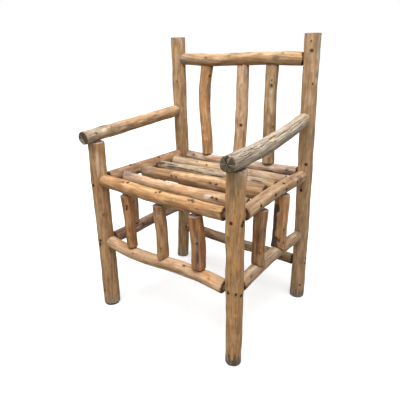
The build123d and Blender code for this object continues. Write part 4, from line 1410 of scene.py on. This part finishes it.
# A nail's head is looked for on the finished wood this far above and below its place.
HEAD_LOOK = 0.012
HEAD_SINK = 0.5            # how deep a head is set, as a share of its height
NAIL_TIP = 0.25            # the tip's thickness as a share of the shank's
NAIL_TILT, NAIL_SPIN = 0.14, 3.1      # the most that a nail is turned, in radians
NAIL_SEED = 5


def nail_heads(node):
    """Middle of each nail's head and the way it faces, on the solids."""
    heads, facings = [], []
    for solid in nail_solids(node):
        middle = (solid.min(axis=0) + solid.max(axis=0)) / 2
        facing = np.linalg.svd(solid - middle, full_matrices=False)[2][0]
        along = (solid - middle) @ facing
        aside = np.linalg.norm(solid - middle - along[:, None] * facing, axis=1)
        if aside[along < 0].max() > aside[along > 0].max():
            facing, along = -facing, -along
        heads.append(middle + facing * along.max())
        facings.append(facing)
    return heads, facings


def nail_solids(node):
    """Each nail of a node, as its own points."""
    mesh = frame["nodes"][node].data
    points = mesh_points(mesh)
    _, merged = np.unique(np.round(points, 6), axis=0, return_inverse=True)
    merged = merged.ravel()
    corners = merged[mesh_triangles(mesh)]
    label = np.arange(merged.max() + 1)
    while True:
        lowest = label[corners].min(axis=1)
        before = label.copy()
        for corner in range(3):
            np.minimum.at(label, corners[:, corner], lowest)
        label = label[label]
        if np.array_equal(before, label):
            break
    owner = label[merged]
    return [points[owner == one] for one in np.unique(owner)]


def nail_places(node, surface):
    """Where each nail's head sits on the finished wood, and the way it faces."""
    heads, facings = nail_heads(node)
    for k, (head, facing) in enumerate(zip(heads, facings)):
        above = Vector(head + HEAD_LOOK * facing)
        found = surface.ray_cast(above, Vector(-facing), 2 * HEAD_LOOK)[0]
        if found is not None:
            heads[k] = np.array(found)
    return heads, facings


def nail_sizes(sizes):
    """The inputs of the nails' tree, by name."""
    return {"Head Radius": sizes.head_radius, "Head Height": sizes.head_height,
            "Shank Radius": sizes.shank_radius, "Length": sizes.length}


def nail_tree(sizes, material):
    """Geometry nodes that set one nail at each point, facing the way its facing layer says."""
    tree = bpy.data.node_groups.new("nails_on_points", "GeometryNodeTree")
    face = tree.interface
    face.new_socket("Points", in_out="INPUT", socket_type="NodeSocketGeometry")
    for label, value in nail_sizes(sizes).items():
        socket = face.new_socket(label, in_out="INPUT", socket_type="NodeSocketFloat")
        socket.default_value = value
        socket.min_value = 0.0
    face.new_socket("Nails", in_out="OUTPUT", socket_type="NodeSocketGeometry")
    bench = Bench(tree)
    given = bench.nodes.new("NodeGroupInput").outputs
    result = bench.nodes.new("NodeGroupOutput")
    nail = one_nail(bench, given)
    place = bench.make("GeometryNodeInstanceOnPoints", Points=given["Points"], Instance=nail,
                       Rotation=nail_turn(bench))
    real = bench.nodes.new("GeometryNodeRealizeInstances")
    paint = bench.make("GeometryNodeSetMaterial", Material=material)
    bench.feed(real.inputs[0], place.outputs[0])
    bench.feed(paint.inputs[0], real.outputs[0])
    bench.feed(result.inputs[0], paint.outputs[0])
    return tree


def one_nail(bench, given):
    """A nail with a domed head and a tapered shank, standing on its tip."""
    radius, shank, depth = given["Head Radius"], given["Shank Radius"], given["Length"]
    flat = bench.arithmetic("DIVIDE", given["Head Height"], radius)
    dome = bench.make("GeometryNodeMeshUVSphere", Segments=14, Rings=8, Radius=radius)
    squash = bench.make("ShaderNodeCombineXYZ", X=1.0, Y=1.0, Z=flat)
    head = bench.make("GeometryNodeTransform", Geometry=dome.outputs[0], Scale=squash.outputs[0])
    cone = bench.make("GeometryNodeMeshCone", Vertices=10, Radius_Top=shank, Depth=depth,
                      Radius_Bottom=bench.arithmetic("MULTIPLY", shank, NAIL_TIP))
    down = bench.make("ShaderNodeCombineXYZ", Z=bench.arithmetic("MULTIPLY", depth, -1.0))
    sunk = bench.make("GeometryNodeTransform", Geometry=cone.outputs[0],
                      Translation=down.outputs[0])
    join = bench.nodes.new("GeometryNodeJoinGeometry")
    bench.feed(join.inputs[0], sunk.outputs[0])
    bench.feed(join.inputs[0], head.outputs[0])
    return join.outputs[0]


def nail_turn(bench):
    """How each nail is turned: the way its point faces, and a little at random."""
    facing = bench.make("GeometryNodeInputNamedAttribute", Name="facing")
    facing.data_type = "FLOAT_VECTOR"
    align = bench.nodes.new("FunctionNodeAlignRotationToVector")
    align.axis = "Z"
    bench.feed(align.inputs["Vector"], facing.outputs[0])
    most = (NAIL_TILT, NAIL_TILT, NAIL_SPIN)
    wobble = bench.nodes.new("FunctionNodeRandomValue")
    wobble.data_type = "FLOAT_VECTOR"
    bench.feed(wobble.inputs[0], tuple(-angle for angle in most))
    bench.feed(wobble.inputs[1], most)
    bench.feed(wobble.inputs["Seed"], NAIL_SEED)
    turn = bench.nodes.new("FunctionNodeEulerToRotation")
    bench.feed(turn.inputs[0], wobble.outputs[0])
    tilt = bench.nodes.new("FunctionNodeRotateRotation")
    tilt.rotation_space = "LOCAL"
    bench.feed(tilt.inputs[0], align.outputs[0])
    bench.feed(tilt.inputs[1], turn.outputs[0])
    return tilt.outputs[0]


def build_nails(node, props, surface):
    """Sets one node's nails into the finished wood."""
    sizes = props.nails
    heads, facings = nail_places(node, surface)
    mesh = bpy.data.meshes.new(node + "_points")
    sink = HEAD_SINK * sizes.head_height
    places = [tuple(head - sink * facing) for head, facing in zip(heads, facings)]
    mesh.from_pydata(places, [], [])
    add_layer(mesh, "facing", "FLOAT_VECTOR", np.array(facings))
    holder = bpy.data.objects.new(node + "_points", mesh)
    bpy.context.scene.collection.objects.link(holder)
    modifier = holder.modifiers.new("Nails", "NODES")
    modifier.node_group = nail_tree(sizes, iron_material(props.colours))
    values = nail_sizes(sizes)
    for item in modifier.node_group.interface.items_tree:
        if item.name in values:
            modifier[item.identifier] = values[item.name]
    bpy.context.view_layer.update()
    evaluated = holder.evaluated_get(bpy.context.evaluated_depsgraph_get())
    finished = bpy.data.meshes.new_from_object(evaluated)
    finished.name = node + "_iron"
    holder.modifiers.remove(modifier)
    bpy.data.objects.remove(holder)
    points = np.clip(mesh_points(finished), CHAIR_LOW, CHAIR_HIGH)
    finished.vertices.foreach_set("co", points.ravel())
    finished.polygons.foreach_set("use_smooth", np.ones(len(finished.polygons), dtype=bool))
    settle(finished, node)


def wood_surface():
    """A search tree over every finished branch."""
    points, triangles = [], []
    for piece in bpy.context.scene.objects:
        if piece.name.endswith("_wood"):
            triangles.extend((mesh_triangles(piece.data) + len(points)).tolist())
            points.extend(mesh_points(piece.data).tolist())
    return BVHTree.FromPolygons(points, triangles)


NAIL_HEADS = [head for node in NAILS for head in nail_heads(node)[0]]


# ---------------------------------------------------------------- settings

def number(name, text, default, **limits):
    """A plain number property."""
    return bpy.props.FloatProperty(name=name, description=text, default=default, **limits)


def length(name, text, default):
    """A size property in metres."""
    return number(name, text, default, unit="LENGTH", precision=5)


def angle(name, text, default):
    """An angle property in radians."""
    return number(name, text, default, subtype="ANGLE", unit="ROTATION")


def whole(name, text, default, least):
    """A whole number property."""
    return bpy.props.IntProperty(name=name, description=text, default=default, min=least)


def colour(name, text, default):
    """A colour property."""
    return bpy.props.FloatVectorProperty(name=name, description=text, default=default,
                                         subtype="COLOR", size=3, min=0.0, max=1.0)


def position(name, text, default):
    """A property for where a thing stands."""
    return bpy.props.FloatVectorProperty(name=name, description=text, default=default,
                                         subtype="TRANSLATION")


def group(kind, name, text):
    """A property that holds a group of others."""
    return bpy.props.PointerProperty(type=kind, name=name, description=text)


class TwigChairBranches(bpy.types.PropertyGroup):
    """How the branches' surfaces are made."""

    lump_height: length("Lump Height", "How far a branch's slow swellings stand out", 0.0009)
    ridge_height: length("Ridge Height", "How far the ridges along the grain stand out", 0.00018)
    knot_height: length("Knot Height", "How far a knot stands out from the branch", 0.0017)
    # Painted shade: how far the darkening runs along a branch from its shoulders, where it meets
    # the next part.
    joint_shade_length: length("Joint Shade Length", "How far dirt runs along a branch from its shoulders",
                         0.005)
    stain_radius: length("Stain Radius", "Radius of the dark stain around a nail", 0.0085)
    ring_spacing: length("Ring Spacing", "Distance between the rings of points along a branch",
                         0.0026)
    arm_ring_spacing: length("Arm Ring Spacing",
                             "Distance between the rings of points along an arm", 0.0022)
    segments: whole("Segments", "Points in each ring around a branch", 96, 12)
    arm_segments: whole("Arm Segments", "Points in each ring around an arm", 220, 12)


class TwigChairNails(bpy.types.PropertyGroup):
    """The sizes of the nails."""

    head_radius: length("Head Radius", "Radius of a nail's round head", 0.0034)
    head_height: length("Head Height", "Height of a nail's domed head above its middle", 0.0011)
    shank_radius: length("Shank Radius", "Radius of a nail under its head", 0.0016)
    length: length("Length", "Length of a nail under its head", 0.034)


class TwigChairColours(bpy.types.PropertyGroup):
    """The colours of the wood and the iron."""

    streak: colour("Streak", "What darker streaks multiply the wood by", (0.55, 0.45, 0.36))
    pale_streak: colour("Pale Streak", "Pale streaks in the wood", (0.70, 0.55, 0.40))
    blotch: colour("Blotch", "What darker blotches multiply the wood by", (0.70, 0.60, 0.51))
    fleck: colour("Fleck", "Small dark flecks", (0.10, 0.055, 0.03))
    weathered: colour("Weathered", "Wood that has gone grey", (0.40, 0.35, 0.29))
    weathered_dark: colour("Weathered Dark", "Darker fibres in grey wood", (0.19, 0.155, 0.125))
    weathered_ridge: colour("Weathered Ridge", "Pale ridges in grey wood", (0.62, 0.54, 0.43))
    weathered_check: colour("Weathered Check", "Fine drying checks in grey wood",
                            (0.06, 0.045, 0.035))
    bark: colour("Bark", "Thin bark that is left on", (0.048, 0.025, 0.016))
    bark_worn: colour("Worn Bark", "Bark where it has worn", (0.13, 0.085, 0.062))
    knot: colour("Knot", "The middle of a knot", (0.028, 0.016, 0.010))
    knot_ring: colour("Knot Ring", "What the ring around a knot multiplies the wood by",
                      (0.45, 0.30, 0.20))
    pale_knot: colour("Pale Knot", "The ring of a pale knot", (0.55, 0.46, 0.36))
    cut: colour("Cut", "A sawn end", (0.55, 0.48, 0.44))
    cut_ring: colour("Cut Ring", "Year rings in a sawn end", (0.30, 0.22, 0.165))
    cut_ray: colour("Cut Ray", "Dark rays and dirt in a sawn end", (0.17, 0.125, 0.095))
    old_cut: colour("Old Cut", "What weather multiplies a sawn end by", (0.30, 0.262, 0.18))
    iron: colour("Iron", "Nail iron", (0.030, 0.026, 0.024))
    iron_worn: colour("Worn Iron", "Nail iron where it is worn", (0.10, 0.088, 0.08))
    rust: colour("Rust", "Rust on the nails", (0.085, 0.040, 0.022))


class TwigChairStage(bpy.types.PropertyGroup):
    """The floor, the lights and the camera."""

    floor_size: length("Floor Size", "Length of the floor's sides", 60.0)
    floor_colour: colour("Floor Colour", "The plain pale floor", (0.80, 0.80, 0.80))
    floor_bounce: colour("Floor Bounce", "The floor's colour in the light that it throws back",
                         (0.27, 0.26, 0.25))
    near_floor: length("Near Floor", "Distance from the chair at which the floor brightens", 0.6)
    far_floor: length("Far Floor", "Distance from the chair from which the floor is white", 2.6)
    floor_glow: number("Floor Glow", "Brightness that the camera adds to the near floor", 0.30,
                       min=0.0)
    far_glow: number("Far Glow", "Brightness that the camera adds to the far floor", 0.75, min=0.0)
    sky_strength: number("Sky Strength", "Strength of the even light from all round", 0.52, min=0.0)
    lamp_power: number("Lamp Power", "Power of the large soft lamp overhead", 107.0, unit="POWER",
                       min=0.0)
    lamp_size: length("Lamp Size", "Length of the soft lamp's sides", 2.6)
    lamp_place: position("Lamp Place", "Where the soft lamp hangs", (0.25, -0.55, 2.6))
    lamp_aim: position("Lamp Aim", "What the soft lamp points at", (0.0, 0.0, 0.45))
    camera_place: position("Camera Place", "Where the camera stands", (0.7474, -1.0105, 0.8557))
    camera_yaw: angle("Camera Yaw", "How far the camera is turned to the left", 0.6397)
    camera_pitch: angle("Camera Pitch", "How far the camera looks down", 0.3584)
    camera_roll: angle("Camera Roll", "How far the camera is tipped sideways", -0.0124)
    camera_lens: number("Camera Lens", "Focal length on a 36 mm wide sensor, in mm", 36.28, min=1.0)


class TwigChairSettings(bpy.types.PropertyGroup):
    """Every setting of the chair."""

    branches: group(TwigChairBranches, "Branches", "The branches' surfaces")
    nails: group(TwigChairNails, "Nails", "The nails' sizes")
    colours: group(TwigChairColours, "Colours", "The wood's and iron's colours")
    stage: group(TwigChairStage, "Stage", "Floor, lights and camera")


# ---------------------------------------------------------------- operators

class BranchOperator:
    """What the operators that dress branches share."""

    bl_options = {"REGISTER", "UNDO"}
    nodes = ()

    def execute(self, context):
        """Dresses this operator's branches."""
        for node in self.nodes:
            build_branch(node, context.scene.twig_chair)
        return {"FINISHED"}


class TWIGCHAIR_OT_posts(BranchOperator, bpy.types.Operator):
    """Dresses the four posts"""

    bl_idname = "twigchair.posts"
    bl_label = "Posts"
    nodes = POSTS


class TWIGCHAIR_OT_arms(BranchOperator, bpy.types.Operator):
    """Dresses the two arms, with their drying cracks"""

    bl_idname = "twigchair.arms"
    bl_label = "Arms"
    nodes = ARMS


class TWIGCHAIR_OT_back(BranchOperator, bpy.types.Operator):
    """Dresses the crest rail and the back spindles"""

    bl_idname = "twigchair.back"
    bl_label = "Back"
    nodes = BACK


class TWIGCHAIR_OT_seat_rails(BranchOperator, bpy.types.Operator):
    """Dresses the four seat rails"""

    bl_idname = "twigchair.seat_rails"
    bl_label = "Seat Rails"
    nodes = SEAT_RAILS


class TWIGCHAIR_OT_seat_slats(BranchOperator, bpy.types.Operator):
    """Dresses the four seat slats"""

    bl_idname = "twigchair.seat_slats"
    bl_label = "Seat Slats"
    nodes = SEAT_SLATS


class TWIGCHAIR_OT_stretchers(BranchOperator, bpy.types.Operator):
    """Dresses the four stretchers"""

    bl_idname = "twigchair.stretchers"
    bl_label = "Stretchers"
    nodes = STRETCHERS


class TWIGCHAIR_OT_lower_spindles(BranchOperator, bpy.types.Operator):
    """Dresses the spindles between the seat rails and the stretchers"""

    bl_idname = "twigchair.lower_spindles"
    bl_label = "Lower Spindles"
    nodes = LOWER_SPINDLES


class TWIGCHAIR_OT_nails(bpy.types.Operator):
    """Sets the nails into the finished wood"""

    bl_idname = "twigchair.nails"
    bl_label = "Nails"
    bl_options = {"REGISTER", "UNDO"}

    def execute(self, context):
        """Sets every nail."""
        surface = wood_surface()
        for node in NAILS:
            build_nails(node, context.scene.twig_chair, surface)
        return {"FINISHED"}


class TWIGCHAIR_OT_stage(bpy.types.Operator):
    """Lays the floor, hangs the lights and sets up the camera"""

    bl_idname = "twigchair.stage"
    bl_label = "Stage"
    bl_options = {"REGISTER", "UNDO"}

    def execute(self, context):
        """Makes the stage."""
        stage = context.scene.twig_chair.stage
        lay_floor(stage)
        hang_lights(context.scene, stage)
        place_camera(context.scene, stage)
        return {"FINISHED"}


def lay_floor(stage):
    """A wide pale floor, which the camera sees a little brighter, and white further off."""
    half = stage.floor_size / 2
    corners = [(-half, -half, 0), (half, -half, 0), (half, half, 0), (-half, half, 0)]
    mesh = bpy.data.meshes.new("floor")
    mesh.from_pydata(corners, [], [(0, 1, 2, 3)])
    floor = bpy.data.objects.new("floor", mesh)
    bpy.context.scene.collection.objects.link(floor)
    paint = Weave("floor_paint")
    inputs = paint.shader.inputs
    inputs["Roughness"].default_value = 0.95
    inputs["Specular IOR Level"].default_value = 0.0
    inputs["Emission Color"].default_value = (1, 1, 1, 1)
    seen = paint.nodes.new("ShaderNodeLightPath").outputs["Is Camera Ray"]
    shade = paint.blend(seen, rgba(stage.floor_bounce), rgba(stage.floor_colour))
    glow = paint.window(paint.length(paint.place()), stage.near_floor, stage.far_floor,
                        stage.floor_glow, stage.far_glow)
    paint.feed(inputs["Base Color"], shade)
    paint.feed(inputs["Emission Strength"], paint.arithmetic("MULTIPLY", seen, glow))
    mesh.materials.append(paint.material)
    floor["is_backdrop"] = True


def hang_lights(scene, stage):
    """Even light from all round, white to the camera, and one large soft lamp overhead."""
    world = bpy.data.worlds.new("surroundings")
    world.use_nodes = True
    bench = Bench(world.node_tree)
    backdrop = bench.nodes["Background"]
    backdrop.inputs["Color"].default_value = (1, 1, 1, 1)
    paths = bench.nodes.new("ShaderNodeLightPath")
    seen = bench.make("ShaderNodeMapRange", Value=paths.outputs["Is Camera Ray"],
                      To_Min=stage.sky_strength, To_Max=1.0)
    bench.feed(backdrop.inputs["Strength"], seen.outputs[0])
    scene.world = world
    light = bpy.data.lights.new("soft_lamp", "AREA")
    light.energy = stage.lamp_power
    light.size = stage.lamp_size
    lamp = bpy.data.objects.new("soft_lamp", light)
    lamp.location = stage.lamp_place
    aim = Vector(stage.lamp_aim) - lamp.location
    lamp.rotation_euler = aim.to_track_quat("-Z", "Y").to_euler()
    scene.collection.objects.link(lamp)


SENSOR_WIDTH = 36.0        # in millimetres
NEAREST_SEEN = 0.01


def place_camera(scene, stage):
    """The camera, in front of the chair's right side and about as high as its back."""
    lens = bpy.data.cameras.new("camera")
    lens.sensor_width = SENSOR_WIDTH
    lens.lens = stage.camera_lens
    lens.clip_start = NEAREST_SEEN
    camera = bpy.data.objects.new("camera", lens)
    camera.location = stage.camera_place
    yaw, pitch, roll = stage.camera_yaw, stage.camera_pitch, stage.camera_roll
    ahead = Vector((-math.sin(yaw) * math.cos(pitch), math.cos(yaw) * math.cos(pitch),
                    -math.sin(pitch)))
    level = Vector((math.cos(yaw), math.sin(yaw), 0))
    upright = level.cross(ahead)
    right = math.cos(roll) * level + math.sin(roll) * upright
    top = -math.sin(roll) * level + math.cos(roll) * upright
    turned = camera.matrix_world.to_3x3()
    for row in range(3):
        turned[row] = (right[row], top[row], -ahead[row])
    camera.rotation_euler = turned.to_euler()
    scene.collection.objects.link(camera)
    scene.camera = camera
    scene.view_settings.view_transform = "Standard"


class TWIGCHAIR_PT_panel(bpy.types.Panel):
    """The chair's pieces and settings"""

    bl_idname = "TWIGCHAIR_PT_panel"
    bl_label = "Twig Chair"
    bl_space_type = "VIEW_3D"
    bl_region_type = "UI"
    bl_category = "Twig Chair"

    def draw(self, context):
        """Lists the operators and the settings."""
        for operator in OPERATORS:
            self.layout.operator(operator.bl_idname)
        for name in ("branches", "nails", "colours", "stage"):
            settings = getattr(context.scene.twig_chair, name)
            box = self.layout.box()
            for setting in settings.bl_rna.properties.keys():
                if setting not in ("rna_type", "name"):
                    box.prop(settings, setting)


OPERATORS = (
    TWIGCHAIR_OT_posts, TWIGCHAIR_OT_arms, TWIGCHAIR_OT_back, TWIGCHAIR_OT_seat_rails,
    TWIGCHAIR_OT_seat_slats, TWIGCHAIR_OT_stretchers, TWIGCHAIR_OT_lower_spindles,
    TWIGCHAIR_OT_nails, TWIGCHAIR_OT_stage,
)
CLASSES = (TwigChairBranches, TwigChairNails, TwigChairColours, TwigChairStage, TwigChairSettings,
           *OPERATORS, TWIGCHAIR_PT_panel)


def register():
    """Adds the classes and the chair's settings."""
    for one in CLASSES:
        bpy.utils.register_class(one)
    bpy.types.Scene.twig_chair = group(TwigChairSettings, "Twig Chair", "The twig chair's settings")


def unregister():
    """Takes the classes and the chair's settings away."""
    del bpy.types.Scene.twig_chair
    for one in reversed(CLASSES):
        bpy.utils.unregister_class(one)


def main():
    """Builds the chair and its stage."""
    register()
    bpy.ops.twigchair.posts()
    bpy.ops.twigchair.arms()
    bpy.ops.twigchair.back()
    bpy.ops.twigchair.seat_rails()
    bpy.ops.twigchair.seat_slats()
    bpy.ops.twigchair.stretchers()
    bpy.ops.twigchair.lower_spindles()
    bpy.ops.twigchair.nails()
    bpy.ops.twigchair.stage()


if __name__ == "__main__":
    main()
